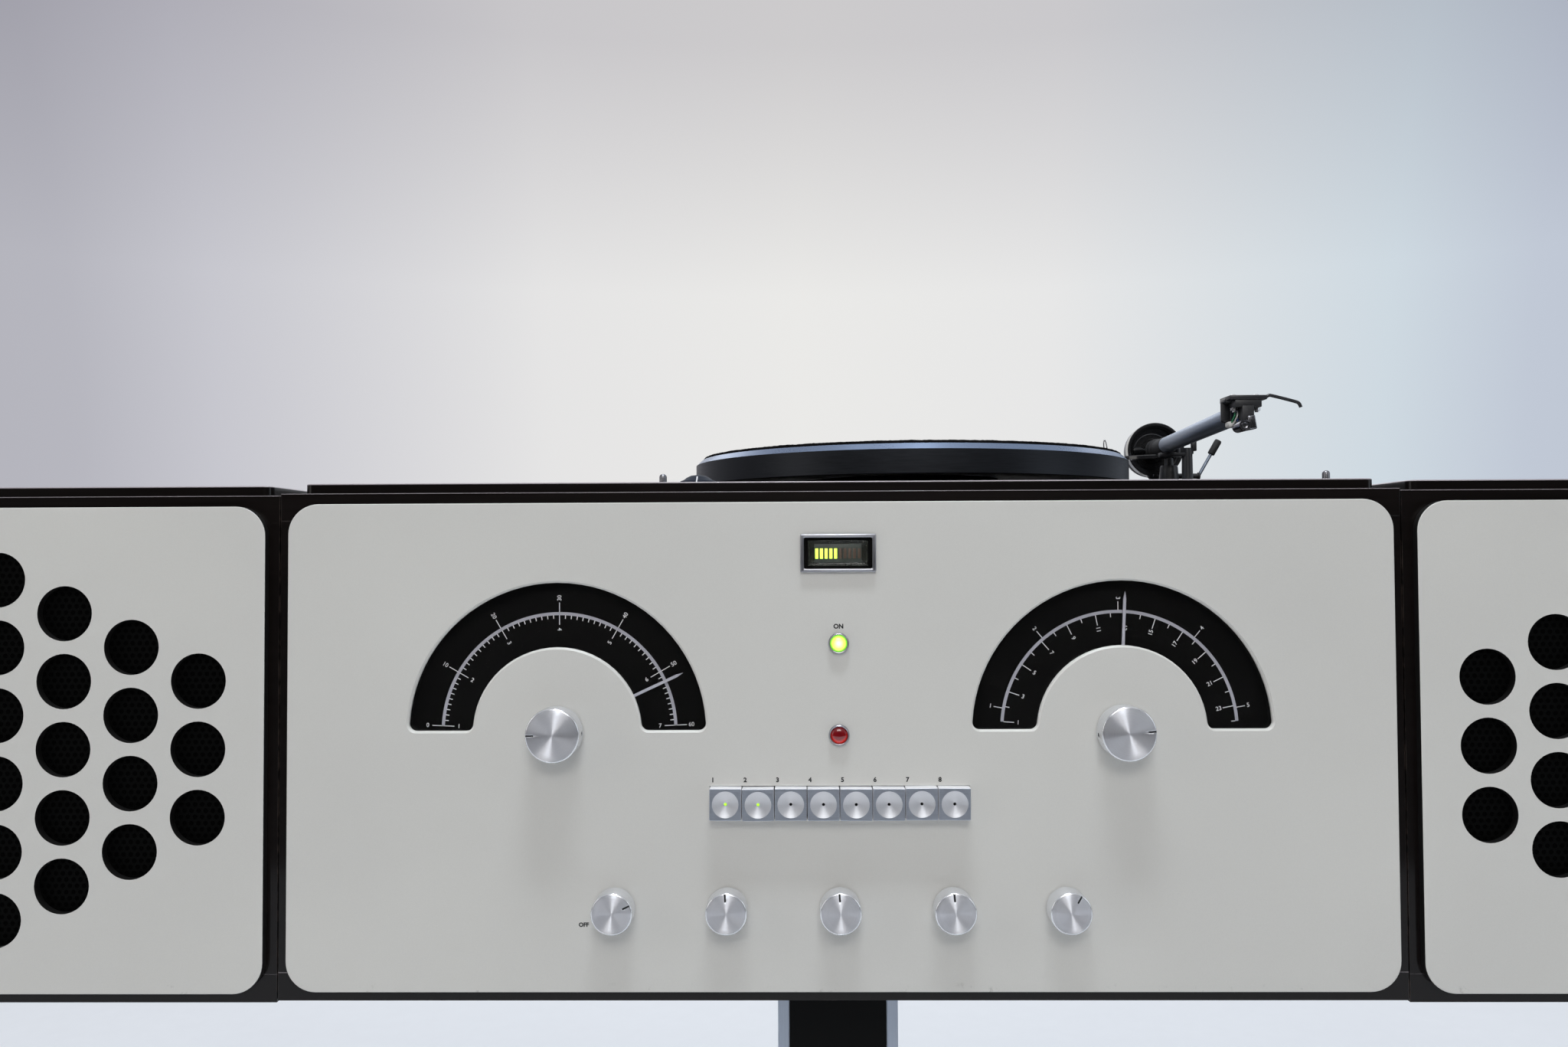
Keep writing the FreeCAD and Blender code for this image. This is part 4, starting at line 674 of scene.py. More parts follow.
KEY_COUNT = 8
KNOB_MARKS = {"tuning": 180.0, "memory": 6.0, "volume": 26.0, "bass": 93.5, "middle": 94.0, "treble": 95.0,
              "balance": 60.0}
NODE_FINISHES = {
    "dark_lacquer": ["cabinet_shell", "top_deck", "left_speaker_cabinet", "right_speaker_cabinet"],
    "white_front": ["front_panel"],
    "white_baffle": ["left_speaker_baffle", "right_speaker_baffle"],
    "back_board": ["rear_panel"],
    "dial_black": ["dial_scales", "level_meter_module"],
    "clear_glass": ["clear_windows"],
    "pointer_paint": ["tuning_pointer", "memory_pointer"],
    "spun_face": [kind + "_knob" for kind in KNOB_MARKS],
    "key_satin": ["source_key_%d" % number for number in range(1, KEY_COUNT + 1)],
    "chrome_rim": ["bezels"],
    "gloss_black": ["lamp_lenses"],
    "moulded_black": ["control_units", "key_switch_bank", "rear_terminals", "left_speaker_drivers",
                      "right_speaker_drivers", "speed_knob"],
    "circuit_green": ["main_board"],
    "bare_steel": ["power_transformer", "drive_motor", "motor_pulley", "locating_pins", "cabinet_fasteners"],
    "turned_brass": ["platter_bearing"],
    "rubber_black": ["drive_belt", "floor_glides"],
    "platter_slate": ["platter"],
    "light_alloy": ["subplatter", "counterweight"],
    "mat_felt": ["platter_mat"],
    "arm_black": ["tonearm_base", "tonearm_yoke", "cartridge", "cue_lever", "lift_platform"],
    "arm_satin": ["tonearm_tube"],
    "mesh_black": ["left_speaker_mesh", "right_speaker_mesh"],
    "column_satin": ["column_uprights"],
    "column_black": ["column_core"],
    "base_black": ["stand_base"],
}
for finish, names in NODE_FINISHES.items():
    for name in names:
        paint(nodes[name], finish)


# Knobs, turned from aluminium with a black index line let into the rim

KNOB_HEIGHT = 13.0
KNOB_CHAMFER = 0.8
SHAFT_RADIUS = 3.0
FACE_RINGS = (0.72, 0.48, 0.24, 0.0)
INDEX_LENGTH = 4.6
INDEX_WIDTH = 0.95
INDEX_DEPTH = 0.25
GRUB_BORE = [(1.2, 0), (1.2, 6)]
GRUB_DEPTH = 4.0
GRUB_FROM_FRONT = 8.5


def make_knob(kind, mark):
    low, high, middle = reach(kind + "_knob")
    radius = (high.x - low.x) / 2
    length = high.y - low.y
    skirt = length - KNOB_HEIGHT
    profile = [(SHAFT_RADIUS, 0), (SHAFT_RADIUS, skirt), (radius - 0.5, skirt), (radius, skirt + 0.5),
               (radius, length - KNOB_CHAMFER), (radius - 0.3, length - 0.3),
               (radius - KNOB_CHAMFER, length)]
    profile += [(radius * share, length) for share in FACE_RINGS]
    seat = (middle.x, high.y, middle.z)
    piece = turned(kind + "_knob_turned", "turned_side", seat, TOWARDS_VIEWER, profile, steps=96)
    paint_faces(piece, "spun_face", lambda face: face.normal.y < -0.95)
    half = INDEX_WIDTH / 2
    slot = block("index_tool", "ink_black", (middle.x - half, low.y - 1, middle.z + radius - INDEX_LENGTH),
                 (middle.x + half, low.y + INDEX_DEPTH, middle.z + radius + 1))
    turn_about(slot, middle, "Y", 90 - mark)
    carve(piece, slot)
    inward = Vector((math.cos(math.radians(mark)), 0, math.sin(math.radians(mark))))
    grub_place = Vector((middle.x, low.y + GRUB_FROM_FRONT, middle.z)) - inward * (radius - GRUB_DEPTH)
    carve(piece, turned("grub_tool", "ink_black", grub_place, -inward, GRUB_BORE, steps=24))
    note_reach(piece, middle)
    place(piece, kind + "_control", "spun_aluminium", kind + "_knob")


for kind, mark in KNOB_MARKS.items():
    make_knob(kind, mark)


# Keys with a turned dish and a light hole, each seated a hair differently

LIT_KEYS = (1, 2)
KEY_DEPTH = 18.0
KEY_STEM = 8.0
KEY_EDGE = 0.3
KEY_SMOOTH = 14
DISH_RADIUS = 7.1
DISH_DEPTH = 1.2
DISH_RINGS = (1.2, 1.0, 0.84, 0.68, 0.52, 0.36, 0.2, 0.0)
HOLE_RADIUS = 0.8
HOLE_DEPTH = 4.2
LENS_HEIGHT = 2.4
LENS_RADIUS = HOLE_RADIUS * 0.97
LENS_PROFILE = [(LENS_RADIUS, 0), (LENS_RADIUS, 1.8), (HOLE_RADIUS * 0.7, 2.25), (0, LENS_HEIGHT)]
# Each key's lift in mm and lean in degrees
KEY_SEATS = {1: (0.10, 0.3), 2: (-0.14, -0.3), 3: (0.06, 0.2), 4: (-0.04, -0.2), 5: (-0.12, 0.3),
             6: (-0.06, 0.4), 7: (0.16, -0.3), 8: (0.10, 0.4)}


def make_first_key():
    low, high, middle = reach("source_key_1")
    cap = block("key_cap", "key_satin", low, (high.x, low.y + KEY_DEPTH, high.z), edge=KEY_EDGE)
    half = KEY_STEM / 2
    stem = block("key_stem", "moulded_black", (middle.x - half, low.y + KEY_DEPTH - 1, middle.z - half),
                 (middle.x + half, high.y, middle.z + half), edge=KEY_EDGE)
    # The key's sides take the whiter finish, a painted sheen.
    paint_faces(cap, "key_edge", lambda face: abs(face.normal.y) < 0.9)
    face = (middle.x, low.y, middle.z)
    rings = [(DISH_RADIUS * share, DISH_DEPTH * (1 - share ** 2)) for share in DISH_RINGS]
    carve(cap, turned("dish_tool", "key_dish", face, AWAY, rings, steps=72))
    bore = [(HOLE_RADIUS, 0), (HOLE_RADIUS, HOLE_DEPTH)]
    carve(cap, turned("hole_tool", "ink_black", face, AWAY, bore, steps=24))
    key = join("source_key_1_cap", [cap, stem])
    soften(key, KEY_SMOOTH)
    note_reach(key, middle)
    return key


def make_keys():
    first = make_first_key()
    start = reach("source_key_1")[2]
    keys = {1: first}
    for number in range(2, KEY_COUNT + 1):
        shift = reach("source_key_%d" % number)[2] - start
        keys[number] = copy_at(first, "source_key_%d_cap" % number, shift)
    for number, key in keys.items():
        low, _, middle = reach("source_key_%d" % number)
        lift, lean = KEY_SEATS[number]
        if number in LIT_KEYS:
            seat = (middle.x, low.y + DISH_DEPTH + LENS_HEIGHT, middle.z)
            lens = turned("key_light", "key_glow", seat, TOWARDS_VIEWER, LENS_PROFILE, steps=24)
            key = join(key.name, [key, lens])
        turn_about(key, middle, "Y", lean)
        key.location.z += lift * MM
        settle(key, key.name)
        place(key, "key_%d" % number, "brushed_aluminium", "source_key_%d" % number)


make_keys()


# Level meter and lamps

BAR_COUNT = 10
LIT_BARS = 5
BAR_WIDTH = 1.6
BAR_PITCH = 2.56
BAR_HEIGHT = 5.5
BAR_Z = METER_Z - 0.2
METER_FACE_Y = -176.7
RIM_FRONT_Y = -181.2
RIM_TOOL_Y = -184.0
RIM_HALF = (20.5, 10.3, 10.3)
# The steps inside the rim: their half sizes and how deep they go
RIM_STEPS = (((18.5, 8.5, 8.5), 5.0), ((19.3, 9.3, 9.3), 0.5))
SURROUND_HALF = (16.3, 7.0, 7.0)
HOLLOW_HALF = (15.4, 6.1, 6.1)
WINDOW_HALF = (12.8, 5.1, 4.9)
LAMP_RIM = [(4.5, -4.0), (5.6, -4.0), (5.6, 1.5), (5.45, 1.9), (5.1, 2.2), (4.75, 2.1), (4.5, 1.7),
            (4.5, -4.0)]
LAMP_DOME = [(4.42, -5.0), (4.42, 0.9), (4.2, 1.3), (3.6, 1.8), (2.6, 2.25), (1.4, 2.5), (0.0, 2.58)]


def meter_block(name, finish, half_size, front, back, edge, rounds=2):
    # A block round the meter's middle: half its width, its reach below and its reach above.
    width, below, above = half_size
    low, high = (-width, front, METER_Z - below), (width, back, METER_Z + above)
    return block(name, finish, low, high, edge, rounds)


def make_meter():
    rim = meter_block("meter_bezel_frame", "chrome_rim", RIM_HALF, RIM_FRONT_Y, FACE_Y, 0.7, 3)
    for half_size, depth in RIM_STEPS:
        back = RIM_FRONT_Y + depth
        carve(rim, meter_block("opening_tool", "chrome_rim", half_size, RIM_TOOL_Y, back, 0.9))
    soften(rim, BLOCK_SMOOTH)
    place(rim, "cabinet", "chrome_trim", "bezels")
    surround = meter_block("meter_surround", "smoked_rim", SURROUND_HALF, METER_FACE_Y - 0.9,
                           METER_FACE_Y + 0.2, 0.3)
    hollow = meter_block("hollow_tool", "smoked_rim", HOLLOW_HALF, METER_FACE_Y - 3,
                         METER_FACE_Y - 0.1, 0.6)
    carve(surround, hollow)
    place(surround, "cabinet", "dial_black")
    window = meter_block("meter_window", "meter_window", WINDOW_HALF, METER_FACE_Y - 0.35,
                         METER_FACE_Y, 0.15)
    place(window, "cabinet", "dial_black")
    left = -BAR_PITCH * (BAR_COUNT - 1) / 2 - BAR_WIDTH / 2
    first = block("meter_bar", "bar_dull", (left, METER_FACE_Y - 0.6, BAR_Z - BAR_HEIGHT / 2),
                  (left + BAR_WIDTH, METER_FACE_Y - 0.1, BAR_Z + BAR_HEIGHT / 2), edge=0.12)
    shifts = [(number * BAR_PITCH, 0, 0) for number in range(BAR_COUNT)]
    bars = [copy_at(first, "meter_bar", shift) for shift in shifts]
    bpy.data.objects.remove(first)
    for finish, group in (("lit", bars[:LIT_BARS]), ("dull", bars[LIT_BARS:])):
        row = join("meter_bars_" + finish, group)
        paint(row, "bar_" + finish)
        place(row, "cabinet", "lamp_lens")


def make_lamp(name, z, finish):
    rim = turned(name + "_bezel", "chrome_rim", (0, FACE_Y, z), TOWARDS_VIEWER, LAMP_RIM, steps=72)
    place(rim, "cabinet", "chrome_trim", "bezels")
    lens = turned(name + "_lens", finish, (0, FACE_Y, z), TOWARDS_VIEWER, LAMP_DOME, steps=72)
    place(lens, "cabinet", "lamp_lens", "lamp_lenses")


make_meter()
make_lamp("power_lamp", LAMP_ZS[0], "green_glow")
make_lamp("memory_lamp", LAMP_ZS[1], "red_lens_painted_highlight")


# Printed dial scales and the figures on the front

ARC_MIDDLE = 63.7
ARC_WIDTH = 1.7
ARC_INNER = ARC_MIDDLE - ARC_WIDTH / 2
ARC_OUTER = ARC_MIDDLE + ARC_WIDTH / 2
PRINT_Y = SCALE_Y - 0.06
LABEL_Y = FACE_Y - 0.04
MARK_WIDTH = 0.42
FINE_MARK_WIDTH = 0.48
FIGURE_HEIGHT = 3.2
KEY_FIGURE_HEIGHT = 3.4
KEY_FIGURE_INSET = 0.6
KEY_FIGURE_GAP = 3.4
ON_GAP = 9.0
OFF_HEIGHT = 3.1
OFF_X = -137.8
OFF_DROP = 9.2
LABEL_SHARE = 0.042
# Figures past these angles are turned to read from the dial's middle
INWARD_FROM = 85
OUTSIDE_INWARD_FROM = 95
TUNING_MAJORS = (177.5, 150.0, 120.0, 90.0, 60.0, 30.0, 2.5)
TUNING_CUT = 2.6
MAJOR_REACH = 5.2
FINE_REACH = 1.9
TUNING_FIGURE_GAP = 7.7
# The memory scale's inner marks and its outer presets: how many, first angle, step and reach
INNER_COUNT = 24
INNER_START = 176.3
INNER_STEP = 7.5
INNER_REACH = 5.7
INNER_SHORT_REACH = 2.2
INNER_FIGURE_GAP = 7.9
PRESET_COUNT = 5
PRESET_START = 169.7
PRESET_STEP = 39.85
PRESET_REACH = 4.6
PRESET_FIGURE_GAP = 6.4
MEMORY_CUT = 4.2


def dial_spot(x, degrees, radius):
    angle = math.radians(degrees)
    return Vector((x + radius * math.cos(angle), PRINT_Y, DIAL_Z + radius * math.sin(angle)))


def dial_arc(name, x, cut_z):
    arc = printed_arc(name, "scale_print", (x, PRINT_Y, DIAL_Z), ARC_INNER, ARC_OUTER, cut_z)
    place(arc, "cabinet", "pointer_grey")


def dial_dash(x, degrees, inner, outer, width=MARK_WIDTH):
    middle = dial_spot(x, degrees, (inner + outer) / 2)
    return flat_mark("dash", width, outer - inner, middle, 90 - degrees)


def dial_figure(x, degrees, radius, number, inward):
    run = degrees + (180 if inward else 0)
    return lettering("figure", "%d" % number, FIGURE_HEIGHT, dial_spot(x, degrees, radius), -run)


def place_prints(name, marks, figures):
    for kind, group in (("_marks", marks), ("_figures", figures)):
        piece = join(name + kind, group)
        paint(piece, "figure_print")
        place(piece, "cabinet", "pointer_grey")


def make_tuning_scale():
    x = -DIAL_X
    dial_arc("tuning_arc", x, TUNING_CUT)
    inner, outer = ARC_INNER - MAJOR_REACH, ARC_OUTER + MAJOR_REACH
    marks = [dial_dash(x, degrees, inner, outer) for degrees in TUNING_MAJORS]
    for start, end in zip(TUNING_MAJORS, TUNING_MAJORS[1:]):
        for step in range(1, 10):
            degrees = start + (end - start) * step / 10
            marks.append(dial_dash(x, degrees, ARC_INNER - FINE_REACH, ARC_INNER, FINE_MARK_WIDTH))
    figures = []
    outside, inside = ARC_OUTER + TUNING_FIGURE_GAP, ARC_INNER - TUNING_FIGURE_GAP
    for step, degrees in enumerate(TUNING_MAJORS):
        figures.append(dial_figure(x, degrees, outside, step * 10, degrees > OUTSIDE_INWARD_FROM))
        figures.append(dial_figure(x, degrees, inside, step + 1, degrees > INWARD_FROM))
    place_prints("tuning", marks, figures)


def make_memory_scale():
    x = DIAL_X
    dial_arc("memory_arc", x, MEMORY_CUT)
    marks, figures = [], []
    for number in range(1, INNER_COUNT + 1):
        degrees = INNER_START - INNER_STEP * (number - 1)
        whole = number % 2 == 1
        inner = ARC_INNER - (INNER_REACH if whole else INNER_SHORT_REACH)
        marks.append(dial_dash(x, degrees, inner, ARC_INNER))
        if whole:
            radius = ARC_INNER - INNER_FIGURE_GAP
            figures.append(dial_figure(x, degrees, radius, number, degrees > INWARD_FROM))
    for number in range(1, PRESET_COUNT + 1):
        degrees = PRESET_START - PRESET_STEP * (number - 1)
        marks.append(dial_dash(x, degrees, ARC_OUTER, ARC_OUTER + PRESET_REACH))
        radius = ARC_OUTER + PRESET_FIGURE_GAP
        figures.append(dial_figure(x, degrees, radius, number, degrees > INWARD_FROM))
    place_prints("memory", marks, figures)


def front_figure(text, height, x, z, side="CENTER"):
    return lettering("figure", text, height, (x, LABEL_Y, z), side=side, weight_share=LABEL_SHARE)


def make_front_figures():
    figures = []
    for number in range(1, KEY_COUNT + 1):
        low, high, _ = reach("source_key_%d" % number)
        left, above = low.x + KEY_FIGURE_INSET, high.z + KEY_FIGURE_GAP
        figures.append(front_figure("%d" % number, KEY_FIGURE_HEIGHT, left, above, "LEFT"))
    figures.append(front_figure("ON", KEY_FIGURE_HEIGHT, 0, LAMP_ZS[0] + ON_GAP))
    figures.append(front_figure("OFF", OFF_HEIGHT, OFF_X, SMALL_KNOB_Z - OFF_DROP))
    piece = join("front_figures", figures)
    paint(piece, "ink_black")
    place(piece, "cabinet", "white_front")


make_tuning_scale()
make_memory_scale()
make_front_figures()


# Turntable

PLATTER_STEPS = 256
PLATTER_WEB = 8
PLATTER_WALL = 132
SPINDLE_HOLE = 4.2
MAT_STEPS = 720
MAT_FRAY = 0.45
MAT_CURL = 0.35
SPEED_COLLAR = 28.0
SPEED_RIM = 31.0
SPEED_LINE_WIDTH = 0.8
SPEED_LINE_START = 5.6
SPEED_LINE_DROP = 6.0
PIN_XS = {"left": -98.0, "right": 276.0}
PIN_Y = -149.2
PIN_PROFILE = [(2.1, -6.0), (2.1, 0.0), (2.1, 3.6), (1.95, 4.4), (1.45, 5.1), (0.75, 5.42), (0.0, 5.5)]
PIN_FOOT = [(2.6, -6), (2.6, -0.1), (2.1, 0.35), (2.1, -6), (2.6, -6)]


def make_platter():
    low, high, middle = reach("platter")
    radius, thick = (high.x - low.x) / 2, high.z - low.z
    profile = [(SPINDLE_HOLE, PLATTER_WEB), (PLATTER_WALL, PLATTER_WEB), (PLATTER_WALL, 0.4),
               (PLATTER_WALL + 0.4, 0), (radius - 0.5, 0), (radius, 0.5), (radius, thick - 3.5),
               (radius - 3.7, thick), (SPINDLE_HOLE, thick), (SPINDLE_HOLE, PLATTER_WEB)]
    seat = (middle.x, middle.y, low.z)
    piece = turned("platter_turned", "platter_slate", seat, UP, profile, steps=PLATTER_STEPS, smooth=20)
    paint_faces(piece, "platter_edge", lambda face: 0.5 < face.normal.z < 0.9)
    place(piece, "turntable", "platter_black", "platter")


def make_mat():
    # The felt's rim is a little frayed.
    low, high, middle = reach("platter_mat")
    radius, thick = (high.x - low.x) / 2, high.z - low.z
    profile = [(SPINDLE_HOLE, 0), (radius - 0.6, 0), (radius - 0.2, 0.5), (radius - 0.2, thick - 0.8),
               (radius - 0.8, thick - 0.35), (radius - 4, thick - 0.2), (radius * 0.6, thick - 0.25),
               (SPINDLE_HOLE, thick - 0.25), (SPINDLE_HOLE, 0)]
    seat = (middle.x, middle.y, low.z)
    piece = turned("felt_mat", "mat_felt", seat, UP, profile, steps=MAT_STEPS, smooth=50)
    for point in piece.data.vertices:
        away = Vector((point.co.x - middle.x * MM, point.co.y - middle.y * MM, 0))
        if away.length > (radius - 5) * MM and point.co.z > (low.z + 0.3) * MM:
            ragged = noise.noise(point.co * 190) * 0.5 + noise.noise(point.co * 700) * 0.5
            point.co += away.normalized() * (ragged - 0.5) * MAT_FRAY * MM
            point.co.z += (ragged - 0.4) * MAT_CURL * MM
    place(piece, "turntable", "mat_felt", "platter_mat")


def make_speed_knob():
    low, high, middle = reach("speed_knob")
    radius, top = (high.x - low.x) / 2, high.z - low.z
    profile = [(SHAFT_RADIUS, 0), (SHAFT_RADIUS, SPEED_COLLAR), (radius - 0.6, SPEED_COLLAR),
               (radius, SPEED_COLLAR + 0.5), (radius, SPEED_RIM - 0.6), (radius - 0.5, SPEED_RIM),
               (8.6, SPEED_RIM + 0.7), (6.6, SPEED_RIM + 2.2), (4.2, SPEED_RIM + 3.3), (2.0, top - 0.2),
               (0, top)]
    seat = (middle.x, middle.y, low.z)
    piece = turned("speed_knob_turned", "knob_slate", seat, UP, profile, steps=72, smooth=40)
    half = SPEED_LINE_WIDTH / 2
    line = block("line_tool", "figure_print", (middle.x - half, low.y - 1, high.z - SPEED_LINE_DROP),
                 (middle.x + half, middle.y - SPEED_LINE_START, high.z + 1))
    carve(piece, line)
    place(piece, "speed_control", "black_plastic", "speed_knob")


def make_cover_pins():
    for side, x in PIN_XS.items():
        at = (x, PIN_Y, DECK_Z)
        piece = turned(side + "_cover_pin", "pin_steel", at, UP, PIN_PROFILE, steps=48, smooth=40)
        foot = turned("pin_foot", "pin_steel", at, UP, PIN_FOOT, steps=48)
        place(join(piece.name, [piece, foot]), "cabinet", "bare_steel", "locating_pins")


make_platter()
make_mat()
make_speed_knob()
make_cover_pins()


# Sockets at the back

JACK_XS = (-50.0, -30.0, -10.0, 10.0, 30.0, 50.0)
JACK_ZS = (415.0, 435.0)
JACK_START_Y = 186.0
JACK_RIM = [(4.52, 0), (4.7, 0), (4.7, 6.1), (4.4, 6.4), (3.6, 6.4), (3.6, 6.32), (4.52, 6.05), (4.52, 0)]


def make_jack_sleeves():
    at = (JACK_XS[0], JACK_START_Y, JACK_ZS[0])
    first = turned("jack_sleeve", "light_alloy", at, AWAY, JACK_RIM, steps=40)
    shifts = [(x - JACK_XS[0], 0, z - JACK_ZS[0]) for x in JACK_XS for z in JACK_ZS]
    sleeves = [copy_at(first, "jack_sleeve", shift) for shift in shifts]
    bpy.data.objects.remove(first)
    place(join("jack_sleeves", sleeves), "cabinet", "light_alloy")


make_jack_sleeves()


# Tonearm

PIVOT = Vector((245.8, 77.8, 657.8))
ALONG_ARM = Vector((-0.0886, -0.9961, 0.0))
ARM_SIDE = Vector((0.9961, -0.0886, 0.0))
TUBE_RADIUS = 5.6
TUBE_END = 217.4
TUBE_WALL = 0.9
COLLAR = [(5.6, -3.0), (6.6, -2.4), (6.6, 3.0), (7.6, 4.2), (7.6, 9.0), (6.8, 9.3), (6.8, 10.0),
          (7.4, 10.3), (7.2, 16.4), (6.1, 17.6), (5.95, 44.0), (5.4, 45.2), (4.0, 45.2)]
STUB = [(4.0, 2.0), (4.0, 35.0), (3.2, 36.0)]
HEAD_Z = 666.4
HEAD_TOP = 669.0
# Each row: lowest corner, highest corner, rounding and its steps
HEAD_BLOCKS = {
    "headshell_plate": ((221.55, -152.95, HEAD_Z), (242.45, -135.95, HEAD_TOP), 0.5, 2),
    "headshell_upright": ((220.9, -141.0, 654.6), (226.9, -137.4, HEAD_TOP - 1.4), 1.6, 4),
    "headshell_shoulder": ((221.2, -146.0, HEAD_Z - 1.2), (226.5, -136.2, HEAD_TOP - 0.6), 1.3, 4),
}
SCREW_Y = -147.5
SCREW_SPACING = 12.7
SCREW_LENGTH = 9.2
NUT_DROP = 8.4
WASHER = [(1.3, 0), (2.4, 0), (2.4, 0.35), (1.3, 0.45), (1.3, 0)]
SCREW = [(1.1, 0), (1.1, 9.2), (1.8, 9.2), (1.75, 9.7), (1.2, 10.1), (0, 10.2)]
NUT = [(1.2, 0), (2.1, 0.1), (2.1, 1.5), (1.2, 1.6), (1.2, 0)]
FINGER_Y = -146.0
FINGER_RADIUS = 0.95
FINGER_SWEEP = [(240.5, 667.7), (243.0, 667.7), (244.4, 668.6), (245.8, 669.6), (247.4, 669.4),
                (254.5, 667.6), (260.8, 665.9), (262.6, 665.2), (263.4, 664.0), (263.9, 662.6)]
BARREL_X = 228.4
BARREL_Z = 651.5
SIDE_CORNERS = ((231.2, -154.6, 649.4), (235.6, -146.4, 657.4))
SIDE_MIDDLE = (233.4, -150.0, 653.2)
SIDE_LEAN = -9
MOUNT_FRONT_Y = -152.7
MOUNT_Z = 662.2
MOUNT_EDGE = 0.5
NECK_CORNERS = ((229.1, -153.6, 651.6), (234.1, -144.6, 663.0))
BARREL = [(1.1, 1.0), (1.1, 0.35), (1.7, 0.2), (1.7, 0.7), (2.4, 0.7), (2.6, 0.1), (3.0, 0.1),
          (3.25, 0.5), (3.25, 11.6), (2.7, 12.4), (0, 12.4)]
NECK_FLARE_TOP = 652.6
NECK_FLARE_Y = -149.0
NECK_FLARE_Z = 652.0
NECK_FLARE = 1.35
PLUG_CORNERS = ((223.2, -145.4, 651.6), (228.8, -138.9, 655.0))
LEAD_X = 225.6
LEAD_PITCH = 1.5
LEAD_RADIUS = 0.45
LEAD_BOW = [(-0.6, -144.6, 653.6), (-0.5, -146.2, 655.4), (0.3, -147.0, 657.4), (1.0, -146.4, 659.4),
            (1.2, -145.4, 662.8)]
YOKE_STEPS = [(20.2, -4.5), (20.2, 4.5), (19.6, 5.1), (18.2, 5.1), (17.6, 4.5), (17.6, 2.6), (16.6, 2.2),
              (16.6, -0.6), (15.8, -1.0), (15.8, -4.9), (19.6, -4.9), (20.2, -4.5)]
YOKE_STEM_Z = 627.0
YOKE_STEM = [(4.0, 0), (4.0, 9.3), (5.5, 10.9), (5.5, 12.7)]
BEARING_REACH = 15.2
BEARING_SCREW = [(2.6, 0), (2.6, 4.6), (1.2, 7.2), (1.2, 8.4)]
WEIGHT_DIAL = [(4.2, 6.0), (8.9, 6.0), (9.4, 6.4), (9.4, 9.0), (12.9, 9.0), (13.4, 9.5), (13.4, 11.0),
               (19.0, 11.0), (19.0, 11.6), (4.2, 11.6), (4.2, 6.0)]
WEIGHT_DRUM = [(4.2, 11.2), (19.2, 11.2), (19.9, 12.0), (19.2, 18.4), (18.3, 18.8), (18.2, 19.8),
               (18.9, 20.2), (17.4, 28.2), (16.6, 29.0), (4.2, 29.0), (4.2, 11.2)]


def make_arm_tube():
    collar = turned("arm_collar", "rubber_black", PIVOT, ALONG_ARM, COLLAR)
    stub = turned("arm_stub", "bare_steel", PIVOT, -ALONG_ARM, STUB, steps=40)
    bore = TUBE_RADIUS - TUBE_WALL
    drawn = [(4.8, 44.0), (TUBE_RADIUS, 44.5), (TUBE_RADIUS, TUBE_END - 1.2),
             (TUBE_RADIUS - 0.5, TUBE_END - 0.4), (bore, TUBE_END), (bore, TUBE_END - 6.0),
             (0.0, TUBE_END - 6.0)]
    tube = turned("arm_tube_drawn", "arm_satin", PIVOT, ALONG_ARM, drawn)
    place(join("arm_tube_drawn", [tube, collar, stub]), "arm", "arm_black", "tonearm_tube")


def make_headshell():
    # A folded strap: it stands on the end of the tube and turns over to carry the cartridge.
    strap = [block(name, "arm_black", *row) for name, row in HEAD_BLOCKS.items()]
    place(join("headshell", strap), "arm", "arm_black", "tonearm_tube")
    sweep = [(x, FINGER_Y, z) for x, z in FINGER_SWEEP]
    lift = bent_wire("finger_lift", "arm_black", sweep, FINGER_RADIUS, sides=6)
    place(lift, "arm", "arm_black", "tonearm_tube")
    screws = []
    middle = reach("cartridge")[2].x
    for side in (-1, 1):
        x = middle + side * SCREW_SPACING / 2
        for name, drop, profile, steps in (("washer", 0, WASHER, 32), ("screw", SCREW_LENGTH, SCREW, 32),
                                           ("nut", NUT_DROP, NUT, 6)):
            at = (x, SCREW_Y, HEAD_TOP - drop)
            screws.append(turned(name, "bare_steel", at, UP, profile, steps=steps))
    place(join("headshell_screws", screws), "arm", "bare_steel")


def make_cartridge():
    low, high, middle = reach("cartridge")
    mount = block("cartridge_mount", "moulded_black", (low.x, MOUNT_FRONT_Y, MOUNT_Z),
                  (high.x, high.y, HEAD_Z), edge=MOUNT_EDGE)
    neck = block("cartridge_neck", "moulded_black", *NECK_CORNERS, edge=MOUNT_EDGE)
    flare_middle = Vector((middle.x, NECK_FLARE_Y, NECK_FLARE_Z)) * MM
    for point in neck.data.vertices:
        point.select = point.co.z < NECK_FLARE_TOP * MM
    bpy.ops.object.mode_set(mode="EDIT")
    bpy.ops.transform.resize(value=(NECK_FLARE, 1.0, 1.0), center_override=flare_middle)
    bpy.ops.object.mode_set(mode="OBJECT")
    place(join("cartridge_body", [mount, neck]), "arm", "arm_black", "cartridge")
    at = (BARREL_X, low.y, BARREL_Z)
    barrel = turned("cartridge_barrel", "dark_chrome", at, AWAY, BARREL, steps=48)
    side = block("cartridge_side", "dark_chrome", *SIDE_CORNERS, edge=0.8, rounds=3)
    turn_about(side, SIDE_MIDDLE, "Y", SIDE_LEAN)
    place(join("cartridge_shell", [barrel, side]), "arm", "light_alloy", "cartridge")
    leads = []
    for number, colour in enumerate(("green", "white", "blue", "red")):
        bow = [(LEAD_X + number * LEAD_PITCH + x, y, z) for x, y, z in LEAD_BOW]
        leads.append(bent_wire("lead", "lead_" + colour, bow, LEAD_RADIUS, sides=3))
    place(join("cartridge_leads", leads), "arm", "arm_black")
    plug = block("lead_plug", "lead_white", *PLUG_CORNERS, edge=1.0, rounds=3)
    place(plug, "arm", "arm_black")


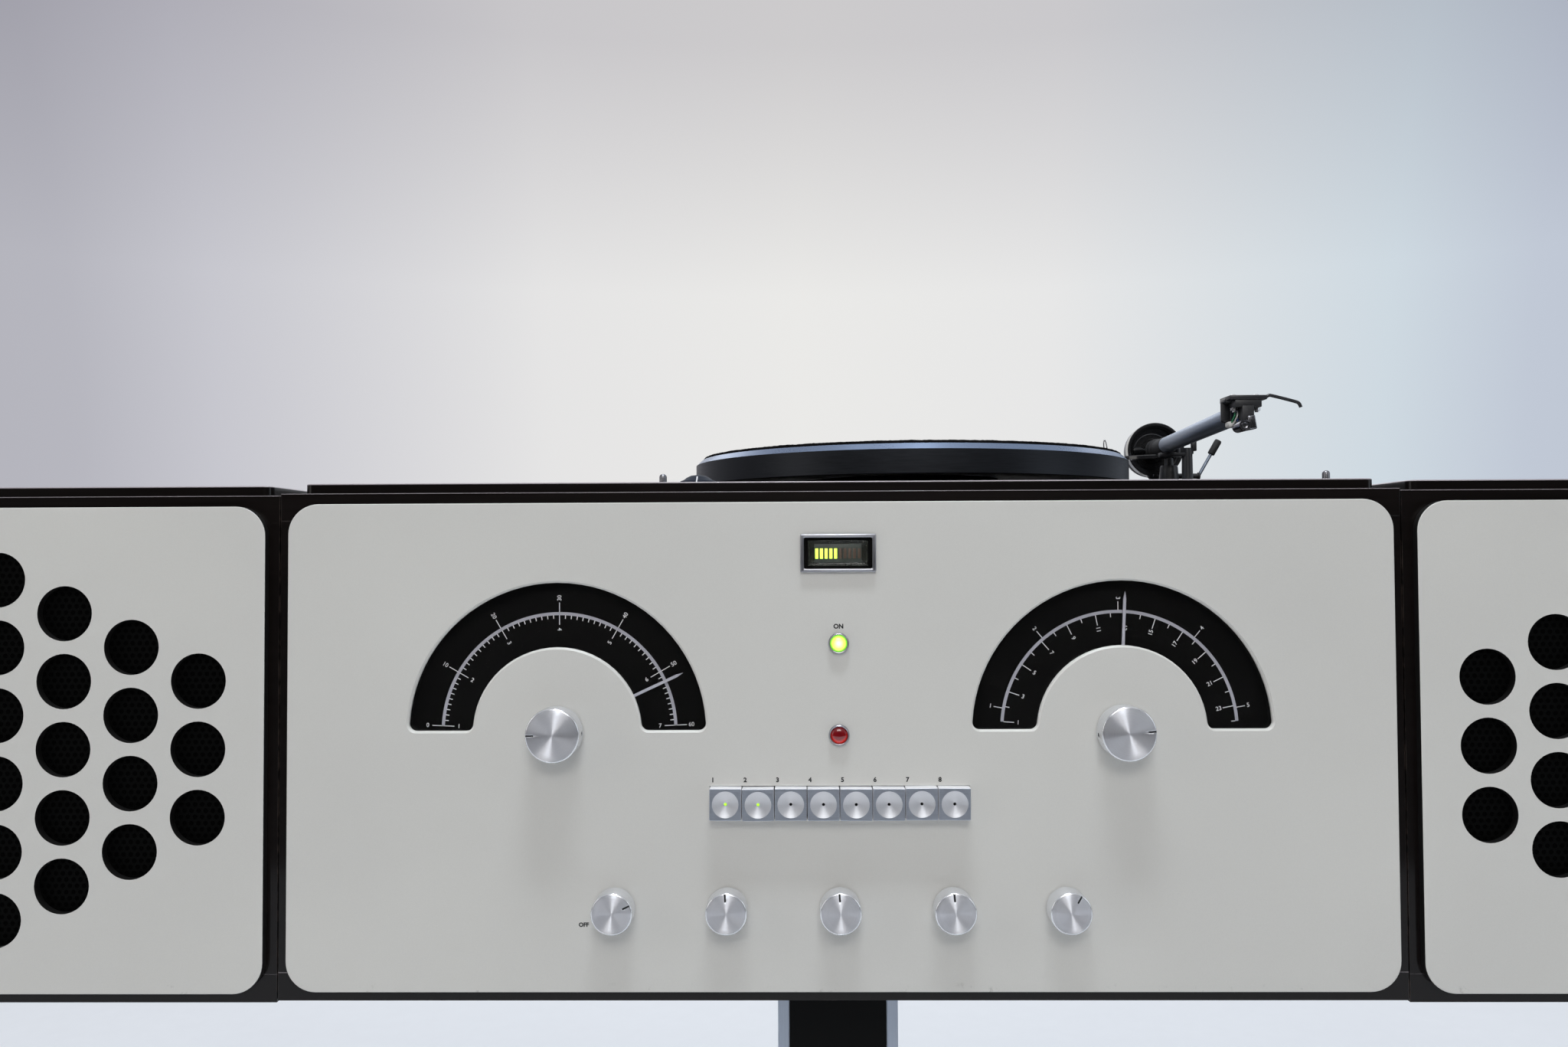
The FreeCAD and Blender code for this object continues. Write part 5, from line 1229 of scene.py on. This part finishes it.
def make_yoke():
    # A deep ring round the pivot with stepped inner walls, on a short stem.
    foot = (PIVOT.x, PIVOT.y, YOKE_STEM_Z)
    pieces = [turned("yoke_ring", "gloss_black", PIVOT, ALONG_ARM, YOKE_STEPS, steps=96),
              turned("yoke_stem", "gloss_black", foot, UP, YOKE_STEM, steps=40)]
    for side in (-1, 1):
        at = PIVOT + side * ARM_SIDE * BEARING_REACH
        inward = -side * ARM_SIDE
        pieces.append(turned("bearing_screw", "gloss_black", at, inward, BEARING_SCREW, steps=32))
    place(join("yoke_ring", pieces), "arm_yoke", "arm_black", "tonearm_yoke")


def make_counterweight():
    # A pale drum with a black stepped dial on its front.
    hub = turned("weight_dial", "gloss_black", PIVOT, -ALONG_ARM, WEIGHT_DIAL, steps=96)
    drum = turned("counterweight_turned", "weight_grey", PIVOT, -ALONG_ARM, WEIGHT_DRUM, steps=96)
    place(join("counterweight_turned", [drum, hub]), "arm_weight", "light_alloy", "counterweight")


# Arm base, rest, lift and lever

LIFT_X = 246.0
LIFT_Y = 42.8
REST_X = 254.5
REST_Y = 27.8
TERMINAL_AT = (231.5, 62.0, DECK_Z + 5.0)
ARM_FOOT = [(4.4, 0), (27.0, 0), (27.0, 4.0), (26.0, 5.0), (9.6, 5.0), (9.0, 5.6), (9.0, 11.1),
            (8.2, 12.0), (4.4, 12.0), (4.4, 0)]
PILLAR = [(7.4, 0), (7.2, 8.0), (6.5, 17.5), (6.3, 21.4), (5.6, 22.6), (3.2, 22.6), (3.2, 3.0), (0, 3.0)]
REST_POST = [(4.9, 0), (4.6, 4.5), (3.9, 10), (3.7, 26.0), (3.4, 34.0), (0, 34.3)]
# Each row: lowest corner, highest corner and rounding
REST_BLOCKS = {
    "rest_bar": ((234.6, 24.9, 648.8), (257.6, 30.7, 651.7), 0.6),
    "rest_prong": ((248.9, 25.4, 650.8), (251.9, 30.2, 660.7), 0.6),
    "rest_latch": ((257.6, 25.6, 652.8), (260.8, 30.0, 660.0), 0.5),
    "rest_step": ((255.4, 25.8, 650.6), (258.6, 29.8, 654.4), 0.4),
}
CLIP_CORNERS = ((247.7, 25.2, 651.4), (248.9, 30.4, 660.4))
TERMINAL = [(2.2, 0), (2.2, 3.2), (1.4, 3.6), (1.4, 5.4), (0, 5.6)]
SKATE_HOOP = [(221.0, 90.0, 625.0), (219.0, 90.0, 632.0), (212.8, 89.0, 652.0), (210.6, 88.4, 662.0),
              (210.9, 88.0, 667.0), (212.1, 87.6, 666.4), (214.0, 87.0, 654.0), (221.0, 86.0, 633.0),
              (223.0, 86.0, 625.0)]
HOOP_RADIUS = 0.45
LIFT_STEM_Z = 632.8
LIFT_STEM = [(3.0, 0), (3.0, 16.4)]
LIFT_BAR_Z = 648.7
LIFT_REACH = 35.2
LIFT_HALF_WIDTH = 2.5
LIFT_CUTS = ((-85.5, 1), (-139.2, -1))
LEVER_Z = 636.0
LEVER_LEAN = 30
LEVER_START_X = 267.2
LEVER_SHAFT_X = 250.3
LEVER_SHAFT = [(2.0, 0), (2.0, 16.2), (2.6, 16.4), (2.6, 17.6), (2.0, 17.8)]
LEVER_ROD = [(1.15, 0), (1.15, 29.0)]
SLEEVE_START = 18.2
LEVER_SLEEVE = [(1.15, 0), (2.3, 0), (2.5, 0.6), (2.55, 10.2), (2.2, 11.3), (0, 11.4)]


def make_arm_base():
    pieces = [turned("arm_foot", "arm_black", (PIVOT.x, PIVOT.y, DECK_Z), UP, ARM_FOOT, steps=96),
              turned("lift_pillar", "arm_black", (LIFT_X, LIFT_Y, DECK_Z), UP, PILLAR, steps=56),
              turned("rest_post", "arm_black", (REST_X, REST_Y, DECK_Z), UP, REST_POST, steps=48)]
    pieces += [block(name, "arm_black", *row) for name, row in REST_BLOCKS.items()]
    place(join("arm_base_moulded", pieces), "cabinet", "arm_black", "tonearm_base")
    strip = block("rest_clip", "chrome_rim", *CLIP_CORNERS, edge=0.3)
    place(strip, "cabinet", "chrome_trim")
    nut = turned("base_terminal", "turned_brass", TERMINAL_AT, UP, TERMINAL, steps=6)
    place(nut, "cabinet", "bearing_brass")
    hoop = bent_wire("skate_hoop", "bare_steel", SKATE_HOOP, HOOP_RADIUS, sides=4)
    place(hoop, "cabinet", "bare_steel")


def make_lift():
    # A stem in the pillar with a curved bar on top that carries the tube.
    stem = turned("lift_stem", "arm_black", (LIFT_X, LIFT_Y, LIFT_STEM_Z), UP, LIFT_STEM, steps=40)
    inner, outer = LIFT_REACH - LIFT_HALF_WIDTH, LIFT_REACH + LIFT_HALF_WIDTH
    profile = [(inner, 0.3), (inner + 0.3, 0), (outer - 0.3, 0), (outer, 0.3), (outer, 2.4),
               (outer - 0.6, 3.0), (inner + 0.6, 3.0), (inner, 2.4), (inner, 0.3)]
    bar = turned("lift_bar", "gloss_black", (PIVOT.x, PIVOT.y, LIFT_BAR_Z), UP, profile, steps=180)
    bpy.ops.object.mode_set(mode="EDIT")
    for degrees, side in LIFT_CUTS:
        angle = math.radians(degrees)
        across = Vector((-math.sin(angle), math.cos(angle), 0)) * side
        bpy.ops.mesh.select_all(action="SELECT")
        bpy.ops.mesh.bisect(plane_co=PIVOT * MM, plane_no=across, clear_outer=True, use_fill=True)
    close_mesh()
    lift = join("lift_bar", [bar, stem])
    soften(lift, 35)
    place(lift, "lift", "arm_black", "lift_platform")


def make_cue_lever():
    lean = math.radians(LEVER_LEAN)
    direction = Vector((math.sin(lean), 0, math.cos(lean)))
    axle = (LEVER_SHAFT_X, LIFT_Y, LEVER_Z)
    shaft = turned("lever_shaft", "arm_black", axle, RIGHT, LEVER_SHAFT, steps=32)
    start = Vector((LEVER_START_X, LIFT_Y, LEVER_Z))
    rod = turned("lever_rod", "arm_satin", start, direction, LEVER_ROD, steps=24)
    grip = start + direction * SLEEVE_START
    sleeve = turned("lever_sleeve", "rubber_black", grip, direction, LEVER_SLEEVE, steps=40)
    place(join("cue_lever_rod", [rod, shaft, sleeve]), "cue_control", "arm_black", "cue_lever")


make_arm_tube()
make_headshell()
make_cartridge()
make_yoke()
make_counterweight()
make_arm_base()
make_lift()
make_cue_lever()


# Stage, light and camera

FLOOR_SIZE = 14
FLOOR_Y = 5.2
SIDE_STOPS = [(0.0, (0.36, 0.36, 0.39)), (0.245, (0.47, 0.47, 0.52)), (0.285, (0.57, 0.57, 0.62)),
              (0.40, (0.785, 0.78, 0.78)), (0.50, (0.825, 0.82, 0.805)), (0.60, (0.80, 0.80, 0.80)),
              (0.715, (0.62, 0.695, 0.755)), (0.755, (0.53, 0.58, 0.67)), (1.0, (0.40, 0.44, 0.50))]
RISE_STOPS = [(0.0, (1.0, 1.0, 1.0)), (0.21, (1.0, 1.0, 1.0)), (0.39, (0.74, 0.73, 0.755)),
              (1.0, (0.62, 0.62, 0.64))]
ROOM_LOW = (0.035, 0.035, 0.037, 1)
ROOM_HIGH = (0.50, 0.50, 0.52, 1)
# Each row: place and target in metres, size, power and colour
LIGHTS = {
    "overhead": ((0.0, -0.51, 2.35), (0.0, -0.20, 0.5), (0.55, 0.15), 22.0, (0.86, 0.93, 1.0)),
    "front_fill": ((0.0, -1.7, 1.55), (0.0, -0.18, 0.5), (1.0, 0.6), 9.6, (1.0, 0.985, 0.965)),
    "cool_side": ((2.3, -0.9, 1.2), (0.1, -0.1, 0.5), (0.9, 1.4), 6.0, (0.86, 0.93, 1.0)),
    "warm_side": ((-2.3, -1.2, 1.1), (-0.1, -0.1, 0.5), (0.9, 1.4), 6.0, (1.0, 0.965, 0.93)),
    "floor_wash": ((0.0, 1.9, 1.9), (0.0, 1.2, 0.0), (3.0, 1.0), 19.5, (0.95, 0.975, 1.0)),
}
CAMERA_AT = (-0.0211, -0.8391, 0.5792)
CAMERA_TURN = (0.699, 1.566, 0.268)
LENS = 28.0
SENSOR = 36.0
NEAREST = 0.01


def make_stage():
    clear_bench()
    bpy.ops.mesh.primitive_plane_add(size=FLOOR_SIZE, location=(0, FLOOR_Y, 0))
    floor = bpy.context.object
    floor.name = "floor"
    paint(floor, "floor_paper")


def make_world():
    # A pale wall behind the object that falls off to the sides and upwards, a dim room towards the viewer.
    world = bpy.data.worlds.new("studio")
    bpy.context.scene.world = world
    world.use_nodes = True
    tree = world.node_tree
    axes = axes_of(tree, add(tree, "TexCoord").outputs["Generated"])
    sideways = fill_ramp(tree, ranged(tree, axes["X"], -1.0, 1.0), SIDE_STOPS)
    upwards = fill_ramp(tree, axes["Z"], RISE_STOPS)
    wall = mix_colours(tree, 1.0, sideways, upwards, "MULTIPLY")
    room = mix_colours(tree, ranged(tree, axes["Z"], 0.15, 0.8), ROOM_LOW, ROOM_HIGH)
    whole = mix_colours(tree, ranged(tree, axes["Y"], 0.30, -0.30), wall, room)
    feed(tree, tree.nodes["Background"], {"Color": whole})


def soft_light(name, at, target, size, power, colour):
    data = bpy.data.lights.new(name, "AREA")
    data.shape = "RECTANGLE"
    data.size, data.size_y = size
    data.energy = power
    data.color = colour
    lamp = bpy.data.objects.new(name, data)
    bpy.context.scene.collection.objects.link(lamp)
    aim = (Vector(target) - Vector(at)).to_track_quat("-Z", "Y").to_matrix().to_4x4()
    lamp.matrix_world = Matrix.Translation(at) @ aim
    lamp.visible_camera = False


def make_camera():
    bpy.context.scene.view_settings.view_transform = "Standard"
    yaw, pitch, roll = [math.radians(degrees) for degrees in CAMERA_TURN]
    turn = Matrix.Rotation(yaw, 3, "Z") @ Matrix.Rotation(pitch, 3, "X") @ Matrix.Rotation(roll, 3, "Y")
    right, forward, up = turn.col[0], turn.col[1], turn.col[2]
    data = bpy.data.cameras.new("viewpoint")
    data.lens = LENS
    data.sensor_fit = "HORIZONTAL"
    data.sensor_width = SENSOR
    data.clip_start = NEAREST
    camera = bpy.data.objects.new("viewpoint", data)
    bpy.context.scene.collection.objects.link(camera)
    seat = Matrix((right, up, -forward)).transposed().to_4x4()
    camera.matrix_world = Matrix.Translation(CAMERA_AT) @ seat
    bpy.context.scene.camera = camera


make_stage()
make_world()
for name, row in LIGHTS.items():
    soft_light(name, *row)
make_camera()
